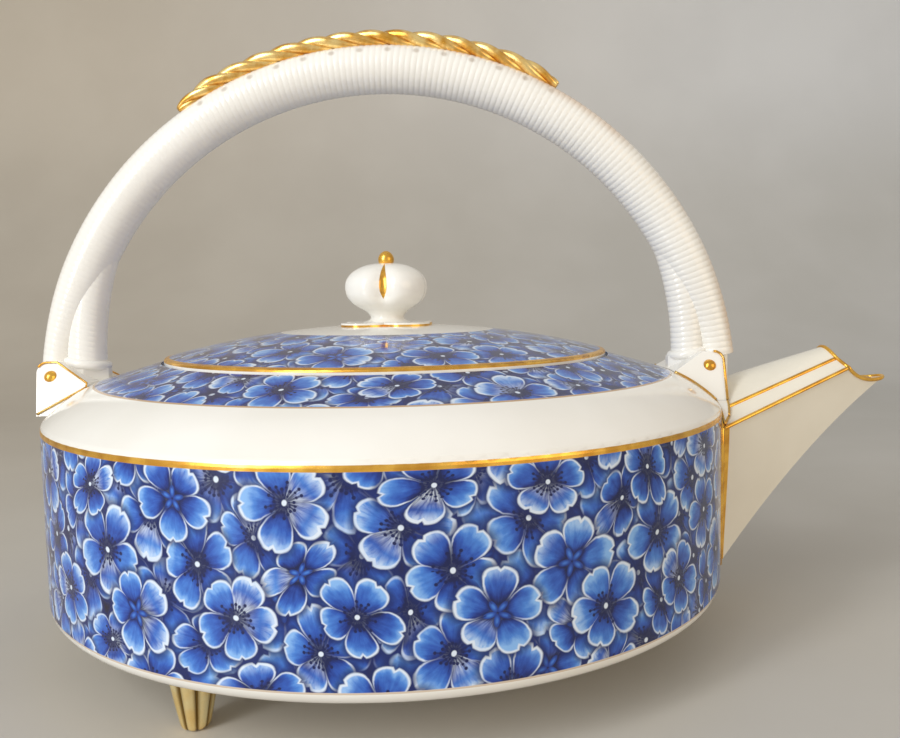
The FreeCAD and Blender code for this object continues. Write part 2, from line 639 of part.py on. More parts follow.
def make_knob_bud(doc):
    """Four-lobed bud on a waisted neck, with a seat for its finial."""
    body = new_body(doc, "knob_bud")
    turn_knob(body)
    neck_chord = "sqrt(dims.neck_flare ^ 2 + dims.neck_height ^ 2)"
    core = [
        ("0", PLINTH_TOP),
        ("dims.neck_radius + dims.neck_flare", PLINTH_TOP, Arc(neck_chord, -1)),
        ("dims.neck_radius", NECK_Z),
        ("dims.bud_spread", f"{BUD_WIDE_Z} - dims.bud_low / 2"),
        ("dims.bud_spread", BUD_WIDE_Z),
        ("dims.seat_radius", BUD_SEAT_Z),
        ("0", BUD_SEAT_Z),
    ]
    revolve(body, outline(new_sketch(body, "XZ_Plane"), core))
    low_swell = bulge("dims.bud_lobe - dims.bud_hip", "dims.bud_low - dims.bud_cone")
    high_swell = bulge("dims.bud_lobe - dims.bud_flat", "dims.bud_high")
    lobe = [
        ("0", NECK_Z),
        ("dims.bud_flat", NECK_Z),
        ("dims.bud_hip", f"{NECK_Z} + dims.bud_cone", low_swell),
        ("dims.bud_lobe", BUD_WIDE_Z, high_swell),
        ("dims.bud_flat", f"{BUD_WIDE_Z} + dims.bud_high"),
        ("0", f"{BUD_WIDE_Z} + dims.bud_high"),
    ]
    sketch = outline(new_sketch(body, "XZ_Plane", ("dims.bud_spread", "0", "0")), lobe)
    polar_copies(body, [revolve(body, sketch)], "Z_Axis", "4")
    seat = ring(new_sketch(body, "XY_Plane", ("0", "0", BUD_SEAT_Z)), "0", "0", "dims.seat_radius")
    cut_through(body, seat, Reversed=True)


def make_knob_finial(doc):
    """Small gilt tip of the knob."""
    body = new_body(doc, "knob_finial")
    widest = f"{BUD_SEAT_Z} + dims.finial_waist"
    top = f"{BUD_SEAT_Z} + dims.finial_height"
    low = bulge("dims.finial_radius - dims.finial_foot", "dims.finial_waist")
    high = bulge("dims.finial_radius - dims.finial_point", "dims.finial_height - dims.finial_waist")
    profile = [
        ("0", BUD_SEAT_Z),
        ("dims.finial_foot", BUD_SEAT_Z, low),
        ("dims.finial_radius", widest, high),
        ("dims.finial_point", top),
        ("0", top),
    ]
    revolve(body, outline(new_sketch(body, "XZ_Plane"), profile))


def build(doc):
    fill_sheet(doc)
    make_body_shell(doc)
    make_spout(doc)
    make_handle_hoop(doc)
    make_handle_plait(doc)
    for side, turn in (("spout", 0), ("rear", 180)):
        make_lug(doc, side, turn)
        make_stud(doc, side, turn, front=True)
        make_stud(doc, side, turn, front=False)
    for label, angle in (("foot_spout", 0), ("foot_back", 120), ("foot_front", 240)):
        make_foot(doc, label, angle)
    make_lid(doc)
    make_knob_plinth(doc)
    make_knob_bud(doc)
    make_knob_finial(doc)
    doc.recompute()


def check(doc):
    for item in doc.Objects:
        if "Invalid" in item.State or "Error" in item.State:
            raise RuntimeError(f"{item.Label} failed to build")
    bodies = [item for item in doc.Objects if item.TypeId == "PartDesign::Body"]
    for body in bodies:
        if body.Shape.isNull() or not body.Shape.isValid() or not body.Shape.Solids:
            raise RuntimeError(f"{body.Label} has no sound solid")
    return bodies


def write(bodies):
    os.makedirs("parts", exist_ok=True)
    for body in bodies:
        body.Shape.exportStep(f"parts/{body.Label}.step")


def main():
    doc = FreeCAD.newDocument("teapot")
    build(doc)
    write(check(doc))


main()
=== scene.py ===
"""Looks of the porcelain teapot: print, glaze, gilding, hoop, plait, bud, feet, light and camera.

Lengths are millimetres in the text and metres in the scene: MM turns one into the other.
"""

import math

import bmesh
import bpy
from mathutils import Matrix, Vector
from mathutils.bvhtree import BVHTree


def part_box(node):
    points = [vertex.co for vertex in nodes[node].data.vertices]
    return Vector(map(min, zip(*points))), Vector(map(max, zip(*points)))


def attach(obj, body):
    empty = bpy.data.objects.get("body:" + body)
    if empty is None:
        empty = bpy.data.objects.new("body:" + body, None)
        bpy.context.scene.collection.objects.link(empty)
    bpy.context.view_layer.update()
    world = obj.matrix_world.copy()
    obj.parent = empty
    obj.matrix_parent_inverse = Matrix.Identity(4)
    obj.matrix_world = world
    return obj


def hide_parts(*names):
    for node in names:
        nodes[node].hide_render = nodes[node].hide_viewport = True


MM = 0.001
TAU = 2 * math.pi

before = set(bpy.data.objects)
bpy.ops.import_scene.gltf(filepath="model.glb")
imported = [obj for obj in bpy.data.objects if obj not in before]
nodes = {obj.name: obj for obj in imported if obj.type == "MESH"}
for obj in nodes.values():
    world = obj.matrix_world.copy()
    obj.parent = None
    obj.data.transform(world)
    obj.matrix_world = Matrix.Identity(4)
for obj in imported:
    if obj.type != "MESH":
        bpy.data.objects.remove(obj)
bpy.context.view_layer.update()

# Sizes of the solids that the looks follow, in millimetres and degrees.
DRUM_R, WALL_INSIDE_R, WALL_TOP = 75.0, 73.4, 50.0
SHOULDER_R, SHOULDER_Z = 64.5, 58.0
CROWN_SLOPE = math.tan(math.radians(16.1))
LID_R, LID_EDGE_Z = 50.2, 63.055
DOME_R, DOME_EDGE_R = 200.0, 49.6
DOME_Z = LID_EDGE_Z - math.sqrt(DOME_R**2 - DOME_EDGE_R**2)
PLINTH_TOP = 69.71
GROOVES, GROOVE_TURN = 4, math.radians(88)
HOOP_R, HOOP_Z, TUBE_R = 76.4, 50.85, 5.4

# Plait: its ends, then its line, winding and strands, and how it thins and dips at its ends.
PLAIT_START, PLAIT_END = 61.0, 124.4
PLAIT_LINE = HOOP_R + TUBE_R + 1.35
PLAIT_PITCH, PLAIT_STRANDS, PLAIT_THICK, PLAIT_SWING = 19.5, 3, 1.16, 1.0
PLAIT_TURN = PLAIT_PITCH / PLAIT_STRANDS
PLAIT_TAPER, PLAIT_END_SHARE, PLAIT_DIP = 9.0, 0.35, 1.1
PLAIT_SIDES, PLAIT_STEP = 14, 0.35

# Colours of the gilding, and of the brown lines.
GILT = (1.0, 0.58, 0.10, 1)
GILT_DARK = (0.72, 0.36, 0.05, 1)
GILT_PALE = (1.0, 0.74, 0.30, 1)
# Darker gold for the lugs' thin lines: painted shade on their edges.
GILT_SHADED = (0.66, 0.44, 0.14, 1)
LINE_BROWN = (0.42, 0.21, 0.05, 1)


class Wire:
    """Output socket in a node tree; arithmetic on it adds Math nodes."""

    def __init__(self, tree, socket):
        self.tree = tree
        self.socket = socket

    def math(self, operation, *others):
        node = self.tree.nodes.new("ShaderNodeMath")
        node.operation = operation
        for entry, value in zip(node.inputs, (self, *others)):
            feed(self.tree, entry, value)
        return Wire(self.tree, node.outputs[0])

    def __add__(self, other):
        return self.math("ADD", other)

    def __sub__(self, other):
        return self.math("SUBTRACT", other)

    def __mul__(self, other):
        return self.math("MULTIPLY", other)

    def __truediv__(self, other):
        return self.math("DIVIDE", other)

    def least(self, other):
        return self.math("MINIMUM", other)

    def most(self, other):
        return self.math("MAXIMUM", other)

    def floor(self):
        return self.math("FLOOR")

    def size(self):
        return self.math("ABSOLUTE")

    def inverse(self):
        """1 where this wire is 0, and the other way round."""
        return self * -1.0 + 1.0

    def from_middle(self):
        """How far this wire is past the middle between two whole numbers."""
        return self - self.floor() - 0.5

    def modulo(self, count):
        return self - (self / count).floor() * count

    def smooth(self, low, high):
        """Soft step from 0 at low to 1 at high."""
        node = self.tree.nodes.new("ShaderNodeMapRange")
        node.interpolation_type = "SMOOTHSTEP"
        for name, value in (("Value", self), ("From Min", low), ("From Max", high)):
            feed(self.tree, node.inputs[name], value)
        return Wire(self.tree, node.outputs[0])

    def within(self, low, high, soft=0.06):
        """1 between low and high, with soft ends."""
        return self.smooth(low - soft, low + soft) * self.smooth(high + soft, high - soft)

    def ramp(self, stops):
        node = self.tree.nodes.new("ShaderNodeValToRGB")
        elements = node.color_ramp.elements
        while len(elements) < len(stops):
            elements.new(1.0)
        for element, (place, colour) in zip(elements, stops):
            element.position = place
            element.color = colour
        feed(self.tree, node.inputs[0], self)
        return Wire(self.tree, node.outputs[0])

    def mix(self, first, second):
        """Colour that goes from the first to the second with this wire."""
        node = self.tree.nodes.new("ShaderNodeMix")
        node.data_type = "RGBA"
        for index, value in ((0, self), (6, first), (7, second)):
            feed(self.tree, node.inputs[index], value)
        return Wire(self.tree, node.outputs[2])


def feed(tree, entry, value):
    if isinstance(value, Wire):
        tree.links.new(value.socket, entry)
    else:
        entry.default_value = value


def root_of_squares(first, second):
    return (first * first + second * second).math("SQRT")


def vector(tree, x, y, z):
    node = tree.nodes.new("ShaderNodeCombineXYZ")
    for entry, value in zip(node.inputs, (x, y, z)):
        feed(tree, entry, value)
    return Wire(tree, node.outputs[0])


def noise(tree, place, scale, detail=2.0):
    node = tree.nodes.new("ShaderNodeTexNoise")
    feed(tree, node.inputs["Vector"], place)
    node.inputs["Scale"].default_value = scale
    node.inputs["Detail"].default_value = detail
    return Wire(tree, node.outputs[0])


def chance(tree, x, y, z):
    """Four even random numbers for a cell."""
    node = tree.nodes.new("ShaderNodeTexWhiteNoise")
    node.noise_dimensions = "3D"
    feed(tree, node.inputs["Vector"], vector(tree, x, y, z))
    split = tree.nodes.new("ShaderNodeSeparateColor")
    tree.links.new(node.outputs["Color"], split.inputs[0])
    return [Wire(tree, socket) for socket in (node.outputs["Value"], *split.outputs)]


def shifted(tree, place, shift):
    """Place moved by the same amount along each axis."""
    node = tree.nodes.new("ShaderNodeVectorMath")
    feed(tree, node.inputs[0], place)
    feed(tree, node.inputs[1], vector(tree, shift, shift, shift))
    return Wire(tree, node.outputs[0])


def object_place(tree):
    """Place on the object in millimetres, as three wires and a vector in metres."""
    node = tree.nodes.new("ShaderNodeTexCoord")
    split = tree.nodes.new("ShaderNodeSeparateXYZ")
    tree.links.new(node.outputs["Object"], split.inputs[0])
    x, y, z = (Wire(tree, socket) * (1 / MM) for socket in split.outputs)
    return x, y, z, Wire(tree, node.outputs["Object"])


BLUES = [
    (0.00, (0.006, 0.012, 0.070, 1)),
    (0.25, (0.010, 0.033, 0.230, 1)),
    (0.50, (0.026, 0.098, 0.460, 1)),
    (0.75, (0.066, 0.220, 0.660, 1)),
    (1.00, (0.235, 0.465, 0.860, 1)),
]
PETAL_EDGE = (0.70, 0.79, 0.92, 1)
STAMEN = (0.007, 0.013, 0.080, 1)
GAPS = ((0.016, 0.011, 0.014, 1), (0.009, 0.016, 0.080, 1))
SHADE_BLUE, SHADE_STRENGTH = (0.007, 0.018, 0.120, 1), 0.85

# Grid of the blossoms: cells around the drum, and how far in cells each row and sheet is shifted.
AROUND = 23.0
CELL = TAU * DRUM_R / AROUND
ROW_STAGGER, SHEET_ALONG, SHEET_DOWN = 0.5, 0.618, 0.377
# A blossom: its radius in cells, larger on faint sheets, half the room it keeps to, and its foreshortening.
BLOSSOM_R, BLOSSOM_R_RANGE, FAINT_GROWTH, HALF_ROOM = 0.385, 0.06, 0.06, 0.495
TILT_LEAST, TILT_RANGE = 0.66, 0.36
# A petal, in radii of its blossom: length, oval, how it widens outwards, nick at its tip, and uneven edge.
PETALS = 5.0
PETAL_ANGLE = TAU / PETALS
PETAL_LEAST, PETAL_RANGE = 0.80, 0.20
PETAL_MIDDLE, PETAL_HALF_LENGTH, OVAL_SHARE = 0.56, 0.44, 0.34
PETAL_HALF_WIDTH, PETAL_FLARE, PETAL_FLARE_AT = 0.338, 0.90, 0.58
NICK_AT, NICK_SLOPE, NICK_SHARE = 0.925, 1.25, 0.55
WAVER, FRAY = 0.15, 0.07
WAVER_SCALE, GRAIN_SCALE, SHEET_GRAIN_SHIFT = 230.0, 420.0, 0.037
# Its pale edge, which is wider on some tips and uneven, and its streaks.
RIM_LEAST, RIM_TIP, RIM_GRAIN = 0.020, 0.050, 0.032
STREAK_SCALE, STREAK_ACROSS, STREAK_ALONG = 2.6, 3.2, 1.3
# How much each cause moves a petal's tone along BLUES, and how strong its white flushes are.
TONE_BASE, TONE_OUTWARD, TONE_GRAIN, TONE_STREAK = 0.31, 0.42, 0.56, 0.34
TONE_PETAL, TONE_BLOSSOM, TONE_CURL, TONE_FAINT, TONE_HEART = 0.20, 0.14, 0.9, 0.10, 0.16
GLOW_RISE, GLOW_SINK, FLUSH_STRENGTH = 0.42, 0.20, 0.85
# Heart, in radii of the blossom: stamens and pale eye in front, sepals on blossoms that show their back.
STAMENS, STAMEN_LEAST, STAMEN_RANGE, THREAD_STRENGTH = 19.0, 0.17, 0.24, 0.75
STAMEN_ANGLE = TAU / STAMENS
EYE_R, BACK_FROM = 0.06, 0.85
SEPAL_MIDDLE, SEPAL_HALF_LENGTH, SEPAL_HALF_WIDTH, SEPAL_SHADE = 0.155, 0.135, 0.062, 0.75
BLOSSOM_SOCKETS = [
    ("INPUT", "NodeSocketFloat", ("u", "v", "sheet", "edge")),
    ("INPUT", "NodeSocketVector", ("place",)),
    ("OUTPUT", "NodeSocketColor", ("colour",)),
    ("OUTPUT", "NodeSocketFloat", ("cover", "shade")),
]


def blossom_group():
    """One sheet of scattered five-petalled blossoms, each inside its own cell of a staggered grid."""
    group = bpy.data.node_groups.new("blossoms", "ShaderNodeTree")
    for way, kind, names in BLOSSOM_SOCKETS:
        for name in names:
            group.interface.new_socket(name, in_out=way, socket_type=kind)
    entry = group.nodes.new("NodeGroupInput")
    u, v, sheet, edge, place = (Wire(group, socket) for socket in list(entry.outputs)[:5])

    # The blossom's cell, its place and turn in the cell, and its size.
    down = v / CELL + sheet * SHEET_DOWN
    row = down.floor()
    along_row = u / CELL + sheet * SHEET_ALONG + row * ROW_STAGGER
    column = along_row.floor()
    turn = column.modulo(AROUND)
    size_chance, x_chance, y_chance, turn_chance = chance(group, turn, row, sheet)
    tilt_chance, tone_chance, kind_chance, way_chance = chance(group, turn + 0.5, row, sheet)
    radius = size_chance * BLOSSOM_R_RANGE + BLOSSOM_R + edge.inverse() * FAINT_GROWTH
    room = radius * -1.0 + HALF_ROOM
    x = along_row - column - 0.5 - (x_chance * 2.0 - 1.0) * room
    y = down - row - 0.5 - (y_chance * 2.0 - 1.0) * room
    way = way_chance * TAU
    tilt = tilt_chance * TILT_RANGE + TILT_LEAST
    x_turned = (x * way.math("COSINE") + y * way.math("SINE")) / radius
    y_turned = (y * way.math("COSINE") - x * way.math("SINE")) / radius / tilt
    reach = root_of_squares(x_turned, y_turned)
    angle = y_turned.math("ARCTAN2", x_turned)

    # One petal: an oval with a nick at its tip and an uneven edge.
    local = shifted(group, place, sheet * SHEET_GRAIN_SHIFT)
    grain = noise(group, local, GRAIN_SCALE, 3.0)
    waver = noise(group, local, WAVER_SCALE, 1.0)
    step = angle * (PETALS / TAU) + turn_chance * PETALS
    bend = step.from_middle() * PETAL_ANGLE
    petal = step.floor().modulo(PETALS)
    flush, tip_light, petal_tone, petal_length = chance(group, turn + petal * 0.13, row, sheet + 0.31)
    length = petal_length * PETAL_RANGE + PETAL_LEAST
    along = reach * bend.math("COSINE") / length + (waver - 0.5) * WAVER
    aside = reach * bend.math("SINE") + (grain - 0.5) * FRAY
    across = aside.size()
    half_width = ((along - PETAL_FLARE_AT) * PETAL_FLARE + 1.0) * PETAL_HALF_WIDTH
    oval = root_of_squares((along - PETAL_MIDDLE) / PETAL_HALF_LENGTH, across / half_width) - 1.0
    nick = (along - NICK_AT - across * NICK_SLOPE) * NICK_SHARE
    off = (oval * OVAL_SHARE).most(nick)

    # Its colour: streaked blue, a little darker at the heart, with a thin pale edge and some white flushes.
    own_streaks = petal * 7.0 + turn * 13.0 + row * 29.0
    streak_place = vector(group, bend * STREAK_ACROSS, reach * STREAK_ALONG, own_streaks)
    streak = noise(group, streak_place, STREAK_SCALE, 3.0)
    rim_width = along.smooth(0.6, 1.0) * tip_light * tip_light * RIM_TIP + RIM_LEAST
    rim_width = rim_width + (grain - 0.5) * RIM_GRAIN
    rim = off.smooth(rim_width * -1.0 - 0.030, rim_width * -1.0 + 0.010) * off.smooth(0.040, 0.018)
    rim = rim * edge * (along.smooth(0.20, 0.66) * 0.92 + 0.08) * (grain * 0.8 + 0.58)
    tip_flush = along.smooth(0.58, 1.0) * tip_light.smooth(0.45, 1.0) * streak.smooth(0.25, 0.60) * edge
    base_flush = along.smooth(0.66, 0.30) * flush.smooth(0.78, 0.97) * streak.smooth(0.20, 0.75) * edge
    tone = along.smooth(0.08, 0.95) * TONE_OUTWARD + TONE_BASE
    tone = tone + (grain - 0.5) * TONE_GRAIN + (streak - 0.5) * TONE_STREAK
    tone = tone + (petal_tone - 0.5) * TONE_PETAL + (tone_chance - 0.5) * TONE_BLOSSOM
    tone = tone + (flush - 0.5) * aside * TONE_CURL
    glow = off.smooth(-0.20, -0.03) * (along.smooth(0.40, 0.85) * GLOW_RISE - GLOW_SINK)
    tone = tone + glow + (edge - 1.0) * TONE_FAINT - reach.smooth(0.36, 0.08) * TONE_HEART
    flushed = (base_flush * FLUSH_STRENGTH).most(tip_flush * FLUSH_STRENGTH)
    colour = rim.most(flushed).most(0.0).least(1.0).mix(tone.ramp(BLUES), PETAL_EDGE)

    # Seen from the front the blossom has dark stamens round a pale dot; from the back, five small sepals.
    back = kind_chance.smooth(BACK_FROM - 0.005, BACK_FROM + 0.005)
    front = back.inverse()
    spoke = angle * (STAMENS / TAU) + turn_chance * STAMENS
    spoke_chance, dot_chance, _, _ = chance(group, turn, row + 0.5, spoke.floor() + sheet)
    arc = spoke.from_middle() * STAMEN_ANGLE * reach
    end = spoke_chance * STAMEN_RANGE + STAMEN_LEAST
    thread = arc.size().smooth(0.028, 0.010) * reach.smooth(end + 0.01, end - 0.01)
    anther = root_of_squares(arc, reach - end).smooth(0.046, 0.024)
    second = root_of_squares(arc, reach - end * (dot_chance * 0.3 + 0.45)).smooth(0.040, 0.020)
    colour = ((thread * THREAD_STRENGTH).most(anther).most(second) * front).mix(colour, STAMEN)
    eye = root_of_squares(x_turned * 1.2, y_turned).smooth(EYE_R + 0.015, EYE_R - 0.015) * front
    colour = eye.mix(colour, PETAL_EDGE)
    sepal_bend = (step + 0.5).from_middle() * PETAL_ANGLE
    sepal_along = (reach * sepal_bend.math("COSINE") - SEPAL_MIDDLE) / SEPAL_HALF_LENGTH
    sepal = root_of_squares(sepal_along, reach * sepal_bend.math("SINE") / SEPAL_HALF_WIDTH) - 1.0
    colour = (sepal.smooth(0.9, 0.05) * back * SEPAL_SHADE).mix(colour, STAMEN)
    sepal_colour = (sepal.smooth(0.0, -0.9) * 0.38 + 0.30 + (grain - 0.5) * 0.4).ramp(BLUES)
    colour = (sepal.smooth(0.10, -0.10) * back).mix(colour, sepal_colour)

    cover = off.smooth(0.018, -0.018).most(reach.smooth(0.26, 0.20))
    shade = off.smooth(0.16, 0.0)
    leave = group.nodes.new("NodeGroupOutput")
    for socket, wire in zip(leave.inputs, (colour, cover, shade)):
        group.links.new(wire.socket, socket)
    return group


# Sheets of blossoms from the back to the front: number, strength of the petals' pale edges.
SHEETS = [(1.0, 0.25), (2.0, 0.40), (3.0, 0.60), (4.0, 0.85), (5.0, 1.0), (6.0, 1.0)]


def blossom_print(tree, group, u, v, place):
    """Dense overlapping blossoms over dark gaps."""
    colour = noise(tree, place, 110.0).smooth(0.46, 0.60).mix(*GAPS)
    for sheet, edge in SHEETS:
        node = tree.nodes.new("ShaderNodeGroup")
        node.node_tree = group
        for entry, value in zip(node.inputs, (u, v, sheet, edge, place)):
            feed(tree, entry, value)
        layer, cover, shade = (Wire(tree, socket) for socket in node.outputs)
        colour = (shade * SHADE_STRENGTH).mix(colour, SHADE_BLUE)
        colour = cover.mix(colour, layer)
    return colour


def new_material(name):
    """A material with its node tree and shader, then the place on its object."""
    material = bpy.data.materials.new(name)
    material.use_nodes = True
    tree = material.node_tree
    return material, tree, tree.nodes["Principled BSDF"], *object_place(tree)


# Pairs of clouded tones, then how the glaze and the gilding bend and scatter light.
WHITES = ((0.83, 0.81, 0.755, 1), (0.88, 0.865, 0.82, 1))
# Whites of the spout, tinted warm: painted warm light bounced onto it.
WARM_BOUNCE_WHITES = ((0.80, 0.755, 0.645, 1), (0.86, 0.82, 0.71, 1))
GLAZE_IOR, RIPPLE_STRENGTH = 1.52, 0.12
GILT_METAL, GILT_ON_GLAZE_ROUGH = 0.8, 0.17


def porcelain_white(tree, place, tones=WHITES):
    """Warm white glaze with faint clouding."""
    cloud = noise(tree, place, 45.0, 3.0)
    return cloud.smooth(0.25, 0.75).mix(*tones)


def gilding(tree, place, thick=GILT):
    """Burnished gold, darker where it is thin."""
    thin = noise(tree, place, 260.0, 3.0)
    return thin.smooth(0.34, 0.66).mix(GILT_DARK, thick)


def uneven(tree, place, least, spread, scale=300.0, detail=2.0):
    """Roughness that wavers from place to place."""
    return noise(tree, place, scale, detail) * spread + least


def glaze_ripple(tree, shader, place, height=0.35, scale=90.0):
    """Slow waver in the glaze that bends its reflections a little."""
    bump = tree.nodes.new("ShaderNodeBump")
    bump.inputs["Strength"].default_value = RIPPLE_STRENGTH
    bump.inputs["Distance"].default_value = height * MM
    feed(tree, bump.inputs["Height"], noise(tree, place, scale, 1.0))
    tree.links.new(bump.outputs[0], shader.inputs["Normal"])


def finish_glaze(tree, shader, colour, gold, place):
    """Glossy glaze, with gold where the gold wire is 1."""
    feed(tree, shader.inputs["Base Color"], gold.mix(colour, gilding(tree, place)))
    feed(tree, shader.inputs["Metallic"], gold * GILT_METAL)
    roughness = uneven(tree, place, least=0.07, spread=0.05) + gold * GILT_ON_GLAZE_ROUGH
    feed(tree, shader.inputs["Roughness"], roughness)
    shader.inputs["IOR"].default_value = GLAZE_IOR
    glaze_ripple(tree, shader, place)


# How far below the face of the crown or dome a point still is on that face.
FACE_DEPTH = (-1.0, -0.7)
# Drum: height where the print turns from the wall to the top, ends of the print, and its lines.
PRINT_TURN_Z, PRINT_FOOT, PRINT_DROP = 51.5, 14.75, 0.5
GILT_RING = (WALL_TOP - 0.55, WALL_TOP + 0.5)
SHOULDER_LINE, SHOULDER_LINE_STRENGTH = (SHOULDER_R - 0.3, SHOULDER_R + 0.22), 0.8
FOOT_LINE, FOOT_LINE_STRENGTH = (PRINT_FOOT - 0.34, PRINT_FOOT), 0.5


def drum_material(group):
    """Print on wall and crown, brown lines at the ends of the white, and a gilt ring on top of the wall."""
    material, tree, shader, x, y, z, place = new_material("printed_drum")
    r = root_of_squares(x, y)
    outside = r.smooth(WALL_INSIDE_R - 0.2, WALL_INSIDE_R + 0.2)
    wall = z.smooth(PRINT_TURN_Z + 0.1, PRINT_TURN_Z - 0.1)
    top = wall.inverse()
    around = y.math("ARCTAN2", x) * DRUM_R
    crown_height = (r * -1.0 + SHOULDER_R) * CROWN_SLOPE + SHOULDER_Z
    crown = (z - crown_height).smooth(*FACE_DEPTH) * r.smooth(SHOULDER_R - 0.28, SHOULDER_R - 0.36)
    printed = (z.within(PRINT_FOOT, WALL_TOP - PRINT_DROP) * outside).most(crown)
    blossoms = blossom_print(tree, group, around * wall + x * top, z * wall + y * top, place)
    colour = printed.mix(porcelain_white(tree, place), blossoms)
    shoulder_line = r.within(*SHOULDER_LINE) * z.smooth(SHOULDER_Z - 1.0, SHOULDER_Z - 0.8)
    foot_line = z.within(*FOOT_LINE) * outside
    lines = (shoulder_line * SHOULDER_LINE_STRENGTH).most(foot_line * FOOT_LINE_STRENGTH)
    finish_glaze(tree, shader, lines.mix(colour, LINE_BROWN), z.within(*GILT_RING) * outside, place)
    return material


# Lid: its white middle, the width and drop of its gilt edge, and where its print is taken from.
LID_WHITE_R, LID_GILT_WIDTH, LID_GILT_DROP = 24.6, 1.2, 0.65
LID_PRINT_X, LID_PRINT_Y = 3.0, 7.0


def lid_material(group):
    """Print on the dome round a white middle, with a gilt edge."""
    material, tree, shader, x, y, z, place = new_material("printed_lid")
    r = root_of_squares(x, y)
    dome = (r * r * -1.0 + DOME_R**2).most(0.0).math("SQRT") + DOME_Z
    gilt_r, gilt_z = LID_R - LID_GILT_WIDTH, LID_EDGE_Z - LID_GILT_DROP
    printed = r.within(LID_WHITE_R, gilt_r) * (z - dome).smooth(*FACE_DEPTH)
    blossoms = blossom_print(tree, group, x + LID_PRINT_X, y + LID_PRINT_Y, place)
    colour = printed.mix(porcelain_white(tree, place), blossoms)
    gold = r.smooth(gilt_r - 0.05, gilt_r + 0.05) * z.smooth(gilt_z - 0.05, gilt_z + 0.05)
    finish_glaze(tree, shader, colour, gold, place)
    return material


def white_material():
    material, tree, shader, *_, place = new_material("white_glaze")
    feed(tree, shader.inputs["Base Color"], porcelain_white(tree, place))
    feed(tree, shader.inputs["Roughness"], uneven(tree, place, least=0.08, spread=0.05))
    shader.inputs["IOR"].default_value = GLAZE_IOR
    glaze_ripple(tree, shader, place)
    return material


# Gilt band on the spout's joint: its radius at the foot, how much that grows to the top, and where it ends.
BAND_R, BAND_GROWTH, BAND_FOOT_Z, BAND_TOP_Z, BAND_END_Z = DRUM_R + 1.0, 0.7, 14.0, 46.0, 47.0


def spout_material():
    """White glaze tinted warm as painted bounce light, with a gilt band on the joint with the drum's wall.
    """
    material, tree, shader, x, y, z, place = new_material("spout_glaze")
    band = z.smooth(BAND_FOOT_Z, BAND_TOP_Z) * BAND_GROWTH + BAND_R
    gold = (root_of_squares(x, y) - band).smooth(0.08, -0.08) * z.smooth(BAND_END_Z + 0.6, BAND_END_Z - 0.6)
    finish_glaze(tree, shader, porcelain_white(tree, place, WARM_BOUNCE_WHITES), gold, place)
    return material


PLINTH_WHITE_DEPTH = 0.39


def plinth_material():
    """White plate with a gilt edge."""
    material, tree, shader, _, _, z, place = new_material("plinth_glaze")
    gilt_top = PLINTH_TOP - PLINTH_WHITE_DEPTH
    gold = z.smooth(gilt_top + 0.05, gilt_top - 0.05)
    finish_glaze(tree, shader, porcelain_white(tree, place), gold, place)
    return material


# Gilt spindle in a groove of the bud: widest height, reach up and down, half width, and end near the axis.
SPINDLE_Z, SPINDLE_UP, SPINDLE_DOWN, SPINDLE_WIDE, SPINDLE_END_R = 78.0, 5.2, 2.9, 0.85, 1.8


def bud_material():
    """White bud with a gilt spindle in each of its four grooves."""
    material, tree, shader, x, y, z, place = new_material("bud_glaze")
    r = root_of_squares(x, y)
    quarter = (y.math("ARCTAN2", x) - GROOVE_TURN) * (GROOVES / TAU) + 0.5
    aside = ((quarter.from_middle() * (TAU / GROOVES)).math("SINE") * r).size()
    rise = ((z - SPINDLE_Z) / SPINDLE_UP).most((z - SPINDLE_Z) / -SPINDLE_DOWN)
    spindle = ((rise * rise).inverse() * SPINDLE_WIDE - aside).smooth(-0.06, 0.06)
    gold = spindle * r.smooth(SPINDLE_END_R - 0.2, SPINDLE_END_R + 0.2)
    finish_glaze(tree, shader, porcelain_white(tree, place), gold, place)
    return material


def gilt_material(name="gilding", thick=GILT):
    material, tree, shader, *_, place = new_material(name)
    feed(tree, shader.inputs["Base Color"], gilding(tree, place, thick))
    shader.inputs["Metallic"].default_value = GILT_METAL
    feed(tree, shader.inputs["Roughness"], uneven(tree, place, 0.13, 0.22, scale=420.0, detail=3.0))
    glaze_ripple(tree, shader, place, height=0.25, scale=500.0)
    return material


# Golds of the reeds, the dark gold painted into the valleys between them as shade, and how metallic the foot
# is.
FOOT_GOLDS = ((0.97, 0.70, 0.28, 1), (1.0, 0.90, 0.54, 1))
FOOT_VALLEY_SHADE, FOOT_METAL = (0.20, 0.115, 0.022, 1), 0.85


def foot_material(name, middle):
    """Polished gold, with painted shade between the reeds."""
    material, tree, shader, x, y, _, place = new_material(name)
    reed = (y - middle.y).math("ARCTAN2", x - middle.x) * (FOOT_REEDS / TAU) + 0.5
    from_crest = reed.from_middle().size() * 2.0
    worn = noise(tree, place, 180.0, 3.0).smooth(0.3, 0.7).mix(*FOOT_GOLDS)
    # Dark gold painted as shade in the valleys between the reeds.
    feed(tree, shader.inputs["Base Color"], from_crest.smooth(0.42, 1.0).mix(worn, FOOT_VALLEY_SHADE))
    shader.inputs["Metallic"].default_value = FOOT_METAL
    feed(tree, shader.inputs["Roughness"], uneven(tree, place, 0.12, 0.16, scale=420.0, detail=3.0))
    glaze_ripple(tree, shader, place, height=0.3, scale=260.0)
    return material


# Painted warm shade along the hoop's outer edge: how strong at the rear, and how much more towards the
# spout.
WARM_SHADE, WARM_SHADE_LEAST, WARM_SHADE_RANGE = (0.70, 0.46, 0.26, 1), 0.10, 0.55
# Painted shadow under each turn of the plait: its height over the hoop's line, its own height, and its
# strength.
TURN_SHADOW, TURN_SHADOW_AT, TURN_SHADOW_HIGH, TURN_SHADOW_STRENGTH = (0.42, 0.33, 0.24, 1), 3.5, 0.8, 0.55


